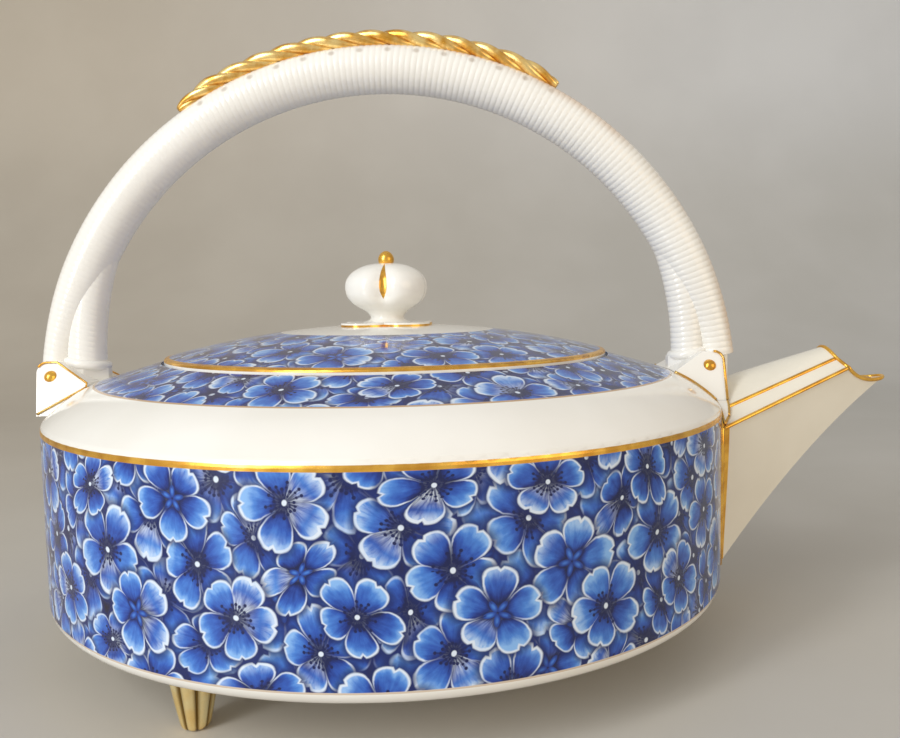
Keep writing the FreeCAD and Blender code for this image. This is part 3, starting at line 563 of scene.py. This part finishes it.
def cane_material():
    """White glaze with painted warm shade on the hoop's outer edge, and painted shadow under each plait
    turn.
    """
    material, tree, shader, x, _, z, place = new_material("cane_glaze")
    from_centre = root_of_squares(x, z - HOOP_Z)
    outer = from_centre.smooth(HOOP_R + 2.0, HOOP_R + TUBE_R)
    patch = noise(tree, place, 55.0).smooth(0.34, 0.66)
    # Painted warm shade, in patches, along the outer edge, stronger towards the spout.
    warm_shade = outer * patch * (x.smooth(-10.0, 55.0) * WARM_SHADE_RANGE + WARM_SHADE_LEAST)
    colour = warm_shade.mix(porcelain_white(tree, place), WARM_SHADE)
    climb = (z - HOOP_Z).math("ARCTAN2", x)
    from_turn = (climb * (HOOP_R + TUBE_R) / PLAIT_TURN).from_middle() * PLAIT_TURN
    # Painted shadow of each turn of the plait on the tube's sides just below it.
    turn_shadow = root_of_squares(from_turn, (from_centre - HOOP_R - TURN_SHADOW_AT) / TURN_SHADOW_HIGH).smooth(1.1, 0.3)
    turn_shadow = turn_shadow * climb.within(math.radians(PLAIT_START), math.radians(PLAIT_END), 0.02)
    feed(tree, shader.inputs["Base Color"], (turn_shadow * TURN_SHADOW_STRENGTH).mix(colour, TURN_SHADOW))
    feed(tree, shader.inputs["Roughness"], uneven(tree, place, least=0.12, spread=0.08))
    shader.inputs["IOR"].default_value = GLAZE_IOR
    return material


def dress(node, material):
    mesh = nodes[node].data
    mesh.materials.clear()
    mesh.materials.append(material)


def new_object(name, data):
    thing = bpy.data.objects.new(name, data)
    bpy.context.scene.collection.objects.link(thing)
    return thing


def add_piece(name, source, material, body):
    """Piece of the visual model from a bmesh."""
    mesh = bmesh_to_mesh(name, source)
    piece = new_object(name, mesh)
    mesh.materials.append(material)
    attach(piece, body)
    return piece


def tube_into(mesh, rings):
    """Skin rings of points, each as long as the next, into a bmesh, and close both ends."""
    rows = [[mesh.verts.new(point) for point in ring] for ring in rings]
    count = len(rows[0])
    for near, far in zip(rows, rows[1:]):
        for index in range(count):
            after = (index + 1) % count
            mesh.faces.new((near[index], near[after], far[after], far[index]))
    mesh.faces.new(reversed(rows[0]))
    mesh.faces.new(rows[-1])


def bmesh_to_mesh(name, source):
    """Smooth mesh whose faces point outwards."""
    bmesh.ops.recalc_face_normals(source, faces=source.faces)
    mesh = bpy.data.meshes.new(name)
    source.to_mesh(mesh)
    source.free()
    for face in mesh.polygons:
        face.use_smooth = True
    return mesh


def upright_ring(sides, level, reach_at, middle=Vector((0.0, 0.0))):
    """Ring about an upright axis, with its reach from the axis given by its turn."""
    ring = []
    for side in range(sides):
        turn = TAU * side / sides
        reach = reach_at(turn)
        x, y = middle.x + reach * math.cos(turn), middle.y + reach * math.sin(turn)
        ring.append(Vector((x, y, level)) * MM)
    return ring


def hoop_point(angle, radius, side):
    """Point at an angle up from the spout's side, a radius from the hoop's centre and aside of its plane."""
    turned = math.radians(angle)
    return Vector((radius * math.cos(turned), side, HOOP_Z + radius * math.sin(turned))) * MM


def hoop_ring(angle, middle, reach_at):
    """Ring across the hoop's line, with its reach from the line given by its turn."""
    ring = []
    for side in range(RIB_SIDES):
        turn = TAU * side / RIB_SIDES
        reach = reach_at(turn)
        ring.append(hoop_point(angle, middle + reach * math.cos(turn), reach * math.sin(turn)))
    return ring


# Angles up from the hoop's centre where its tube parts into two strands and the strands end in their lug.
SPLIT, INNER_START, SEAT = 25.0, 30.0, 7.4
# Foot: middle and radius of the outer strand, then of the inner one.
SPOUT_FOOT = (77.5, 4.1, 70.7, 3.8)
REAR_FOOT = (78.0, 3.6, 71.1, 4.5)
INNER_TOP, INNER_TOP_R = 75.4, 4.1
# Ribs of the winding, and the angles over which they fade to a share of their height at the rear.
RIB_PITCH, RIB_HEIGHT, RIB_RINGS, RIB_SIDES = 1.32, 0.17, 8, 40
RIB_FADE_FROM, RIB_FADE_SPAN, REAR_RIB_SHARE = 80, 60, 0.35
# Rounded collar at the foot of each inner strand: its angle up from the hoop's centre, and its size.
BEAD_AT, BEAD_R, BEAD_SINK, BEAD_STEPS = 8.4, 1.15, 0.25, 16


def hoop_foot(angle):
    return SPOUT_FOOT if angle < 90 else REAR_FOOT


def outer_strand(angle):
    """Radius of the hoop's line and of its tube at an angle from foot to foot."""
    level = min(angle, 180 - angle)
    if level >= SPLIT:
        return HOOP_R, TUBE_R
    middle, radius, _, _ = hoop_foot(angle)
    share = (SPLIT - level) / (SPLIT - SEAT)
    ease = share * share * (3 - 2 * share)
    return HOOP_R + (middle - HOOP_R) * ease, TUBE_R + (radius - TUBE_R) * ease


def inner_strand(angle):
    """The same for the strand that parts from the hoop near a foot."""
    level = min(angle, 180 - angle)
    _, _, middle, radius = hoop_foot(angle)
    share = (INNER_START - level) / (INNER_START - SEAT)
    return INNER_TOP + (middle - INNER_TOP) * share, INNER_TOP_R + (radius - INNER_TOP_R) * share


def rib_height(angle):
    """The winding stands out less towards the rear foot."""
    share = min(1.0, max(0.0, (angle - RIB_FADE_FROM) / RIB_FADE_SPAN))
    return RIB_HEIGHT * (1 - (1 - REAR_RIB_SHARE) * share)


def round_rib(share):
    """Height of a rib across its width: 0 on its crest and -1 in the valleys on both sides."""
    return math.sqrt(1 - (2 * share - 1) ** 2) - 1


def wrapped_rings(line, start, end):
    """Rings of a tube wound with round cane from one angle to another, with a rib at every pitch."""
    span = math.radians(abs(end - start)) * HOOP_R
    count = max(2, round(span / RIB_PITCH * RIB_RINGS))
    rings = []
    for step in range(count + 1):
        angle = start + (end - start) * step / count
        middle, radius = line(angle)
        turns = span * step / count / RIB_PITCH
        ribs = rib_height(angle)
        rings.append(
            hoop_ring(angle, middle, lambda turn: radius + ribs * round_rib((turns + turn / TAU) % 1.0))
        )
    return rings


def bead_rings(angle):
    """Half-round bead about an inner strand, closed inside it."""
    middle, radius = inner_strand(angle)
    rings = []
    for step in range(BEAD_STEPS + 1):
        lean = math.pi * (step / BEAD_STEPS - 0.5)
        level = angle + math.degrees(BEAD_R * math.sin(lean) / middle)
        rings.append(hoop_ring(level, middle, lambda _: radius - BEAD_SINK + BEAD_R * math.cos(lean)))
    return rings


def build_hoop(material):
    """Wound hoop with its two strands at each foot, and a collar on both inner strands."""
    source = bmesh.new()
    for angle in (BEAD_AT, 180 - BEAD_AT):
        tube_into(source, bead_rings(angle))
    tube_into(source, wrapped_rings(outer_strand, SEAT, 180 - SEAT))
    tube_into(source, wrapped_rings(inner_strand, SEAT, INNER_START))
    tube_into(source, wrapped_rings(inner_strand, 180 - INNER_START, 180 - SEAT))
    piece = add_piece("hoop_wrapped", source, material, "pot")
    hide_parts("handle_hoop")


def round_rings(line, sides):
    """Circles across a line of (point, radius), without twisting."""
    rings = []
    normal = None
    for index, (point, radius) in enumerate(line):
        before = line[max(index - 1, 0)][0]
        after = line[min(index + 1, len(line) - 1)][0]
        ahead = (after - before).normalized()
        if normal is None:
            normal = ahead.orthogonal().normalized()
        normal = (normal - ahead * normal.dot(ahead)).normalized()
        across = ahead.cross(normal)
        ring = []
        for side in range(sides):
            turn = TAU * side / sides
            ring.append(point + (normal * math.cos(turn) + across * math.sin(turn)) * radius)
        rings.append(ring)
    return rings


def build_plait(material):
    """Gilt cord of twisted strands along the top of the hoop, thinner at its ends."""
    source = bmesh.new()
    span = math.radians(PLAIT_END - PLAIT_START) * PLAIT_LINE
    count = round(span / PLAIT_STEP)
    for strand in range(PLAIT_STRANDS):
        line = []
        for step in range(count + 1):
            run = span * step / count
            from_end = min(1.0, min(run, span - run) / PLAIT_TAPER)
            swell = PLAIT_END_SHARE + (1 - PLAIT_END_SHARE) * math.sqrt(max(0.0, from_end))
            turn = TAU * (run / PLAIT_PITCH + strand / PLAIT_STRANDS)
            angle = PLAIT_START + (PLAIT_END - PLAIT_START) * step / count
            height = PLAIT_LINE - PLAIT_DIP * (1 - swell) + PLAIT_SWING * swell * math.cos(turn)
            point = hoop_point(angle, height, PLAIT_SWING * swell * math.sin(turn))
            line.append((point, PLAIT_THICK * swell * MM))
        tube_into(source, round_rings(line, PLAIT_SIDES))
    piece = add_piece("plait_twisted", source, material, "pot")
    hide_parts("handle_plait")


# Least angle of a crease, how near two points are the same, and the least length of a face's normal.
CREASE, SAME_POINT, FLAT_NORMAL = math.radians(20), 2e-6, 0.5


def sharp_chains(node, wanted):
    """Runs of points along a solid's creases that the test (middle, first normal, second normal) wants."""
    source = bmesh.new()
    source.from_mesh(nodes[node].data)
    bmesh.ops.remove_doubles(source, verts=source.verts, dist=SAME_POINT)
    source.normal_update()
    links = {}
    for edge in source.edges:
        if len(edge.link_faces) != 2:
            continue
        first, second = (face.normal for face in edge.link_faces)
        if min(first.length, second.length) < FLAT_NORMAL or first.angle(second) < CREASE:
            continue
        ends = [vert.co for vert in edge.verts]
        if wanted((ends[0] + ends[1]) / 2 / MM, first, second):
            for one, other in (edge.verts, reversed(edge.verts)):
                links.setdefault(one.index, []).append(other.index)
    places = {vert.index: vert.co.copy() for vert in source.verts}
    source.free()
    chains = []
    used = set()
    starts = sorted(links, key=lambda index: (len(links[index]) == 2, index))
    for start in starts:
        for after in links[start]:
            if (start, after) in used:
                continue
            chain = [start]
            here, ahead = start, after
            while True:
                used.add((here, ahead))
                used.add((ahead, here))
                chain.append(ahead)
                if len(links[ahead]) != 2:
                    break
                onward = [index for index in links[ahead] if (ahead, index) not in used]
                if not onward:
                    break
                here, ahead = ahead, onward[0]
            chains.append([places[index] for index in chain])
    return chains


def thin_out(chain, least):
    """Drop points that crowd closer than a distance."""
    kept = [chain[0]]
    for point in chain[1:-1]:
        if (point - kept[-1]).length >= least:
            kept.append(point)
    kept.append(chain[-1])
    return kept


LINE_SIDES, LINE_STEP, LINE_LEAST = 8, 0.5, 1.0


def build_gilt_lines(name, chains, radius, material):
    """Gilt lines along runs of points, standing a little proud of the glaze."""
    source = bmesh.new()
    for chain in chains:
        points = thin_out(chain, LINE_STEP * MM)
        if sum((b - a).length for a, b in zip(points, points[1:])) < LINE_LEAST * MM:
            continue
        tube_into(source, round_rings([(point, radius * MM) for point in points], LINE_SIDES))
    add_piece(name, source, material, "pot")


# Bud: height and radius of its outline, from the plinth to the finial's seat.
BUD_OUTLINE = [
    (69.72, 5.9), (70.1, 4.5), (70.6, 3.85), (71.25, 3.95), (72.2, 4.9), (73.1, 6.7),
    (74.1, 8.45), (75.6, 9.75), (77.0, 10.15), (78.3, 10.2), (79.5, 9.9), (80.4, 9.3),
    (81.3, 8.4), (82.1, 7.1), (82.75, 5.5), (83.15, 3.7), (83.35, 1.9), (83.3, 0.6),
]
# Grooves: depth as a share of the outline, width in radians, and the heights over which they deepen.
BUD_GROOVE, BUD_GROOVE_WIDTH, BUD_NECK_Z, BUD_GROOVE_RISE = 0.20, 0.26, 71.7, 4.0
BUD_SIDES, SMOOTH_TIMES = 128, 3


def smoothed(outline):
    """Outline with its corners cut again and again, and its ends kept."""
    rows = [Vector(row) for row in outline]
    for _ in range(SMOOTH_TIMES):
        finer = [rows[0]]
        for a, b in zip(rows, rows[1:]):
            finer += [a * 0.75 + b * 0.25, a * 0.25 + b * 0.75]
        rows = finer + [rows[-1]]
    return rows


def bud_radius(outline, level, turn):
    """The outline, drawn in at four grooves that start above the neck."""
    lobe = TAU / GROOVES
    from_groove = (turn - GROOVE_TURN + lobe / 2) % lobe - lobe / 2
    start = min(1.0, max(0.0, (level - BUD_NECK_Z) / BUD_GROOVE_RISE))
    groove = BUD_GROOVE * start * math.exp(-((from_groove / BUD_GROOVE_WIDTH) ** 2))
    return outline * (1 - groove)


def build_bud(material):
    """Four-lobed bud on a waisted neck, as one smooth skin."""
    rings = []
    for level, outline in smoothed(BUD_OUTLINE):
        rings.append(upright_ring(BUD_SIDES, level, lambda turn: bud_radius(outline, level, turn)))
    source = bmesh.new()
    tube_into(source, rings)
    piece = add_piece("bud_lobed", source, material, "lid")
    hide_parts("knob_bud")


# Foot: height and radius of its outline, then its reeds.
FOOT_OUTLINE = [
    (0.0, 1.4), (0.1, 2.0), (0.5, 2.5), (1.2, 2.8), (3.0, 3.2), (6.0, 3.85), (9.0, 4.45), (12.0, 5.0),
]
FOOT_REEDS, FOOT_REED_DEPTH, FOOT_SIDES = 8, 0.8, 160


def foot_radius(outline, turn):
    """The outline, drawn in between rounded reeds."""
    reed = (FOOT_REEDS * turn / TAU + 0.5) % 1.0
    _, widest = FOOT_OUTLINE[-1]
    return outline + FOOT_REED_DEPTH * (outline / widest) * round_rib(reed)


def build_foot(node):
    """Tapered foot of rounded upright reeds, with one reed towards the front."""
    low, high = (Vector(corner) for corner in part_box(node))
    middle = (low + high) / 2 / MM
    rings = []
    for level, outline in smoothed(FOOT_OUTLINE):
        rings.append(upright_ring(FOOT_SIDES, level, lambda turn: foot_radius(outline, turn), middle))
    source = bmesh.new()
    tube_into(source, rings)
    material = foot_material(node + "_gilding", middle)
    piece = add_piece(node + "_reeded", source, material, "pot")
    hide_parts(node)


# Stations of the spout: out from the wall, up from its top, lean, then across and drop of both gilt corners.
SPOUT_STATIONS = [
    (-3.0, 2.84, 0.0, (15.6, 3.79), (20.07, 6.89)),
    (13.0, 7.96, 28.0, (9.71, 3.26), (13.14, 5.9)),
    (28.94, 13.05, 63.1, (3.66, 3.92), (5.94, 7.14)),
]
LIP_X, LIP_Z, LIP_R = 112.65, 65.80, 11.3
WALL_JOINT_R = DRUM_R + 0.05
CORNER_STEPS, WALL_CLEAR, LIP_CLEAR = 60, 0.2, 0.1
# Middle of the spout's hollow: its height at the wall, and how it rises outwards.
HOLLOW_Z, HOLLOW_RISE = 34.0, 0.48
NEAR_EDGE = 0.15


def mirrored(point, side):
    """Point of the front, or its mirror image at the back where side is 1, in metres."""
    return Vector((point.x, -side * point.y, point.z)) * MM


def from_lip(point):
    """Distance from the round cut that ends the spout."""
    return math.hypot(point.x - LIP_X, point.z - LIP_Z) - LIP_R


def spout_corner(upper, side):
    """Points along one gilt corner of the spout, laid on its glaze, from the wall to the lip."""
    stations = []
    for out, up, lean, *corners in SPOUT_STATIONS:
        across, drop = corners[0 if upper else 1]
        turned = math.radians(lean)
        x = DRUM_R + out + drop * math.sin(turned)
        stations.append(Vector((x, side * across, WALL_TOP + up - drop * math.cos(turned))))
    start, middle, end = stations
    near, far = (middle - start).length, (end - middle).length
    knot = near / (near + far)
    source = bmesh.new()
    source.from_mesh(nodes["spout"].data)
    glaze = BVHTree.FromBMesh(source)
    source.free()
    points = []
    for step in range(CORNER_STEPS + 1):
        t = step / CORNER_STEPS
        first = (t - knot) * (t - 1) / knot
        second = t * (t - 1) / (knot * (knot - 1))
        third = t * (t - knot) / (1 - knot)
        place = start * first + middle * second + end * third
        if math.hypot(place.x, place.y) < WALL_JOINT_R + WALL_CLEAR or from_lip(place) < LIP_CLEAR:
            continue
        points.append(glaze.find_nearest(place * MM)[0])
    return points


def faces_out(middle, first, second):
    """True on the outside of the spout, away from the middle of its hollow."""
    hollow_z = HOLLOW_Z + (middle.x - DRUM_R) * HOLLOW_RISE
    return (first + second).dot(Vector((0, middle.y, middle.z - hollow_z))) > 0


def on_lip(middle, first, second):
    return abs(from_lip(middle)) < NEAR_EDGE and faces_out(middle, first, second)


def on_wall_joint(middle, first, second):
    near_wall = abs(math.hypot(middle.x, middle.y) - WALL_JOINT_R) < NEAR_EDGE
    return near_wall and faces_out(middle, first, second)


FLAP_LEAN, SAME_WAY = math.radians(30), 0.995
FLAP_NORMALS = [Vector((0, side * math.cos(FLAP_LEAN), math.sin(FLAP_LEAN))) for side in (-1, 1)]


def on_flap_edge(first, second):
    return any(face.dot(flap) > SAME_WAY for face in (first, second) for flap in FLAP_NORMALS)


# Inner and outer corner of the front flap at the rear, which a gilt line joins.
REAR_INNER, REAR_OUTER = Vector((-67.1, -10.12, 56.44)), Vector((-77.0, -13.3, 50.93))
REAR_SLANT_STEPS = 24
# Its upright outer edge, which has no gilt line: it lies beyond this x and below this height.
REAR_UPRIGHT_X, REAR_UPRIGHT_TOP = -78.0, 61.0


def on_rear_flap_top(middle, first, second):
    """True along the top of a rear flap and down its inner slope."""
    upright = middle.x < REAR_UPRIGHT_X and middle.z < REAR_UPRIGHT_TOP
    return middle.z > REAR_INNER.z - 0.1 and not upright and on_flap_edge(first, second)


def rear_flap_slants():
    """Lines across both rear flaps, from the inner corner to the outer one."""
    line = [REAR_INNER.lerp(REAR_OUTER, step / REAR_SLANT_STEPS) for step in range(REAR_SLANT_STEPS + 1)]
    return [[mirrored(point, side) for point in line] for side in (-1, 1)]


# Tip of the front flap beside the spout, over the corner of shoulder, wall and spout: the ends of its left
# edge, then of its right one. The back flap's tip is its mirror image.
FLAP_TIP_LEFT = (Vector((73.17, -12.91, 51.6)), Vector((73.2, -19.3, 47.2)))
FLAP_TIP_RIGHT = (Vector((75.7, -12.91, 51.6)), Vector((74.7, -17.4, 48.7)))
FLAP_TIP_OUT = Vector((0.2, -0.6, 0.77))
FLAP_TIP_THICK, FLAP_TIP_BULGE, FLAP_TIP_STEPS = 1.5, 0.45, 8
FLAP_TIP_SHARES = [step / FLAP_TIP_STEPS for step in range(FLAP_TIP_STEPS + 1)]
TIP_LINE_DEPTH = 0.1
# The flap's top and inner slope, which have no gilt line: they lie within this x and above this height.
SPOUT_FLAP_TOP_X, SPOUT_FLAP_SLOPE_Z = 74.0, 57.5


def on_spout_flap_sides(middle, first, second):
    """True on both sides of a flap, but not on its top, its inner slope or where its tip goes on."""
    plain = middle.x < SPOUT_FLAP_TOP_X and middle.z > SPOUT_FLAP_SLOPE_Z
    return middle.z > FLAP_TIP_LEFT[0].z + 0.1 and not plain and on_flap_edge(first, second)


def flap_tip_point(across, down, depth, side):
    """Point of a flap's tip: across and down its face, at a depth under it."""
    left = FLAP_TIP_LEFT[0].lerp(FLAP_TIP_LEFT[1], down)
    right = FLAP_TIP_RIGHT[0].lerp(FLAP_TIP_RIGHT[1], down)
    bulge = FLAP_TIP_BULGE * math.sin(math.pi * down)
    return mirrored(left.lerp(right, across) + FLAP_TIP_OUT * (bulge - depth), side)


def build_flap_tips(material):
    """Tips of both flaps beside the spout."""
    source = bmesh.new()
    for side in (-1, 1):
        rings = []
        for down in FLAP_TIP_SHARES:
            face, under = (
                [flap_tip_point(across, down, depth, side) for across in FLAP_TIP_SHARES]
                for depth in (0.0, FLAP_TIP_THICK)
            )
            rings.append(face + under[::-1])
        tube_into(source, rings)
    add_piece("lug_spout_tips", source, material, "pot")


def flap_tip_edges():
    """Left, right and lower edge of both tips."""
    edges = []
    for side in (-1, 1):
        for across in (0.0, 1.0):
            edges.append([flap_tip_point(across, down, TIP_LINE_DEPTH, side) for down in FLAP_TIP_SHARES])
        edges.append([flap_tip_point(across, 1.0, TIP_LINE_DEPTH, side) for across in FLAP_TIP_SHARES])
    return edges


# Radii of the gilt lines, and how far those on the flaps are lifted.
SPOUT_LINE_R, JOINT_LINE_R, FLAP_LINE_R, REAR_LINE_R, FLAP_LINE_LIFT = 0.45, 0.62, 0.29, 0.24, 0.20


def lifted_off_flap(chain):
    """A run of points lifted off its flap, so that the line shows along the shoulder too."""
    front, back = (flap * FLAP_LINE_LIFT * MM for flap in FLAP_NORMALS)
    return [point + (front if point.y < 0 else back) for point in chain]


def build_all_gilt_lines(gold, shaded_gold):
    """Lines on the spout's corners, lip and joint, and, in gold darkened as painted shade, on both lugs'
    flaps.
    """
    corners = [spout_corner(upper, side) for upper in (True, False) for side in (-1, 1)]
    build_gilt_lines("spout_lines", corners + sharp_chains("spout", on_lip), SPOUT_LINE_R, gold)
    build_gilt_lines("spout_joint", sharp_chains("spout", on_wall_joint), JOINT_LINE_R, gold)
    spout_flaps = [lifted_off_flap(chain) for chain in sharp_chains("lug_spout", on_spout_flap_sides)]
    build_gilt_lines("lug_spout_lines", spout_flaps + flap_tip_edges(), FLAP_LINE_R, shaded_gold)
    rear_flaps = sharp_chains("lug_rear", on_rear_flap_top) + rear_flap_slants()
    rear_flaps = [lifted_off_flap(chain) for chain in rear_flaps]
    build_gilt_lines("lug_rear_lines", rear_flaps, REAR_LINE_R, shaded_gold)


# Stage in metres: how far it reaches to the front, back, sides and up, and the bend between floor and wall.
STAGE_FRONT, STAGE_BACK, STAGE_HALF_WIDTH, STAGE_TOP = -6.0, 0.75, 5.0, 1.6
STAGE_BEND, STAGE_BEND_STEPS, STAGE_ROUGH = 0.35, 12, 0.6
# Left and right pairs of mottled tones, with painted shade near the floor and lighter tones higher up, and
# where they change.
SHADED_LOW_TONES = (
    ((0.50, 0.45, 0.375, 1), (0.54, 0.49, 0.41, 1)),
    ((0.53, 0.52, 0.49, 1), (0.57, 0.56, 0.535, 1)),
)
UPPER_TONES = (
    ((0.58, 0.515, 0.42, 1), (0.62, 0.555, 0.46, 1)),
    ((0.70, 0.705, 0.71, 1), (0.74, 0.745, 0.75, 1)),
)
STAGE_SIDES, STAGE_LEVELS = (-450.0, 450.0), (120.0, 330.0)


def stage_material():
    material, tree, shader, x, _, z, place = new_material("backdrop")
    mottle = noise(tree, place, 9.0, 4.0).smooth(0.3, 0.7)
    side = x.smooth(*STAGE_SIDES)
    low, high = (side.mix(mottle.mix(*warm), mottle.mix(*cool)) for warm, cool in (SHADED_LOW_TONES, UPPER_TONES))
    # Painted shade: the backdrop is darker near the floor and lighter higher up.
    feed(tree, shader.inputs["Base Color"], z.smooth(*STAGE_LEVELS).mix(low, high))
    shader.inputs["Roughness"].default_value = STAGE_ROUGH
    return material


def build_stage():
    """Floor that sweeps up into a plain backdrop."""
    floor_end = STAGE_BACK - STAGE_BEND
    profile = [(STAGE_FRONT, 0.0), (floor_end, 0.0)]
    for step in range(1, STAGE_BEND_STEPS + 1):
        turn = math.pi / 2 * step / STAGE_BEND_STEPS
        profile.append((floor_end + STAGE_BEND * math.sin(turn), STAGE_BEND - STAGE_BEND * math.cos(turn)))
    profile.append((STAGE_BACK, STAGE_TOP))
    source = bmesh.new()
    left = [source.verts.new((-STAGE_HALF_WIDTH, y, z)) for y, z in profile]
    right = [source.verts.new((STAGE_HALF_WIDTH, y, z)) for y, z in profile]
    for index in range(len(profile) - 1):
        source.faces.new((left[index], right[index], right[index + 1], left[index + 1]))
    mesh = bmesh_to_mesh("backdrop", source)
    mesh.materials.append(stage_material())
    floor = new_object("backdrop", mesh)


ROOM_COLOUR, ROOM_STRENGTH = (0.88, 0.87, 0.85, 1), 0.60
# Lamps: name, place, target, width, height, power and colour.
LAMPS = [
    ("window", (-0.62, -0.75, 0.62), (0, 0, 0.05), 0.55, 0.8, 4.2, (0.94, 0.98, 1.0)),
    ("strip", (-0.45, -0.49, 0.33), (-0.02, -0.07, 0.20), 0.12, 0.62, 2.2, (1.0, 1.0, 1.0)),
    ("fill", (0.70, -0.60, 0.22), (0, 0, 0.04), 0.6, 0.6, 2.1, (1.0, 0.74, 0.44)),
]


def build_light():
    """Soft light of a room, and three large lamps."""
    world = bpy.data.worlds.new("room")
    world.use_nodes = True
    background = world.node_tree.nodes["Background"]
    background.inputs["Color"].default_value = ROOM_COLOUR
    background.inputs["Strength"].default_value = ROOM_STRENGTH
    bpy.context.scene.world = world
    for name, place, target, width, height, power, colour in LAMPS:
        lamp = bpy.data.lights.new(name, "AREA")
        lamp.shape = "RECTANGLE"
        lamp.size = width
        lamp.size_y = height
        lamp.energy = power
        lamp.color = colour
        lamp_object = new_object(name, lamp)
        lamp_object.location = place
        lamp_object.rotation_euler = (Vector(target) - Vector(place)).to_track_quat("-Z", "Y").to_euler()


CAMERA_PLACE = (14.43 * MM, -206.7 * MM, 76.4 * MM)
CAMERA_DOWN, CAMERA_ROLL = math.radians(4.99), -0.0173
SENSOR_WIDTH = 36.0
CAMERA_LENS = 882.0 / 900.0 * SENSOR_WIDTH
NEAREST_SEEN = 0.01


def build_camera():
    camera = bpy.data.cameras.new("camera")
    camera.lens = CAMERA_LENS
    camera.sensor_width = SENSOR_WIDTH
    camera.sensor_fit = "HORIZONTAL"
    camera.clip_start = NEAREST_SEEN
    camera_object = new_object("camera", camera)
    aim = Matrix.Rotation(math.pi / 2 - CAMERA_DOWN, 4, "X") @ Matrix.Rotation(CAMERA_ROLL, 4, "Z")
    camera_object.matrix_world = Matrix.Translation(CAMERA_PLACE) @ aim
    bpy.context.scene.camera = camera_object


def main():
    group = blossom_group()
    gold = gilt_material()
    pale_gold = gilt_material("pale_gilding", GILT_PALE)
    white = white_material()
    dress("body_shell", drum_material(group))
    dress("lid", lid_material(group))
    dress("spout", spout_material())
    for node in ("lug_spout", "lug_rear"):
        dress(node, white)
    dress("knob_plinth", plinth_material())
    build_bud(bud_material())
    for node in nodes:
        if node.startswith("foot_"):
            build_foot(node)
        elif node.startswith("stud_") or node == "knob_finial":
            dress(node, gold)
    build_hoop(cane_material())
    build_plait(pale_gold)
    build_flap_tips(white)
    # The lugs' lines take gold darkened as painted shade.
    build_all_gilt_lines(gold, gilt_material("shaded_gilding", GILT_SHADED))
    build_stage()
    build_light()
    build_camera()
    bpy.context.scene.view_settings.view_transform = "Standard"


main()
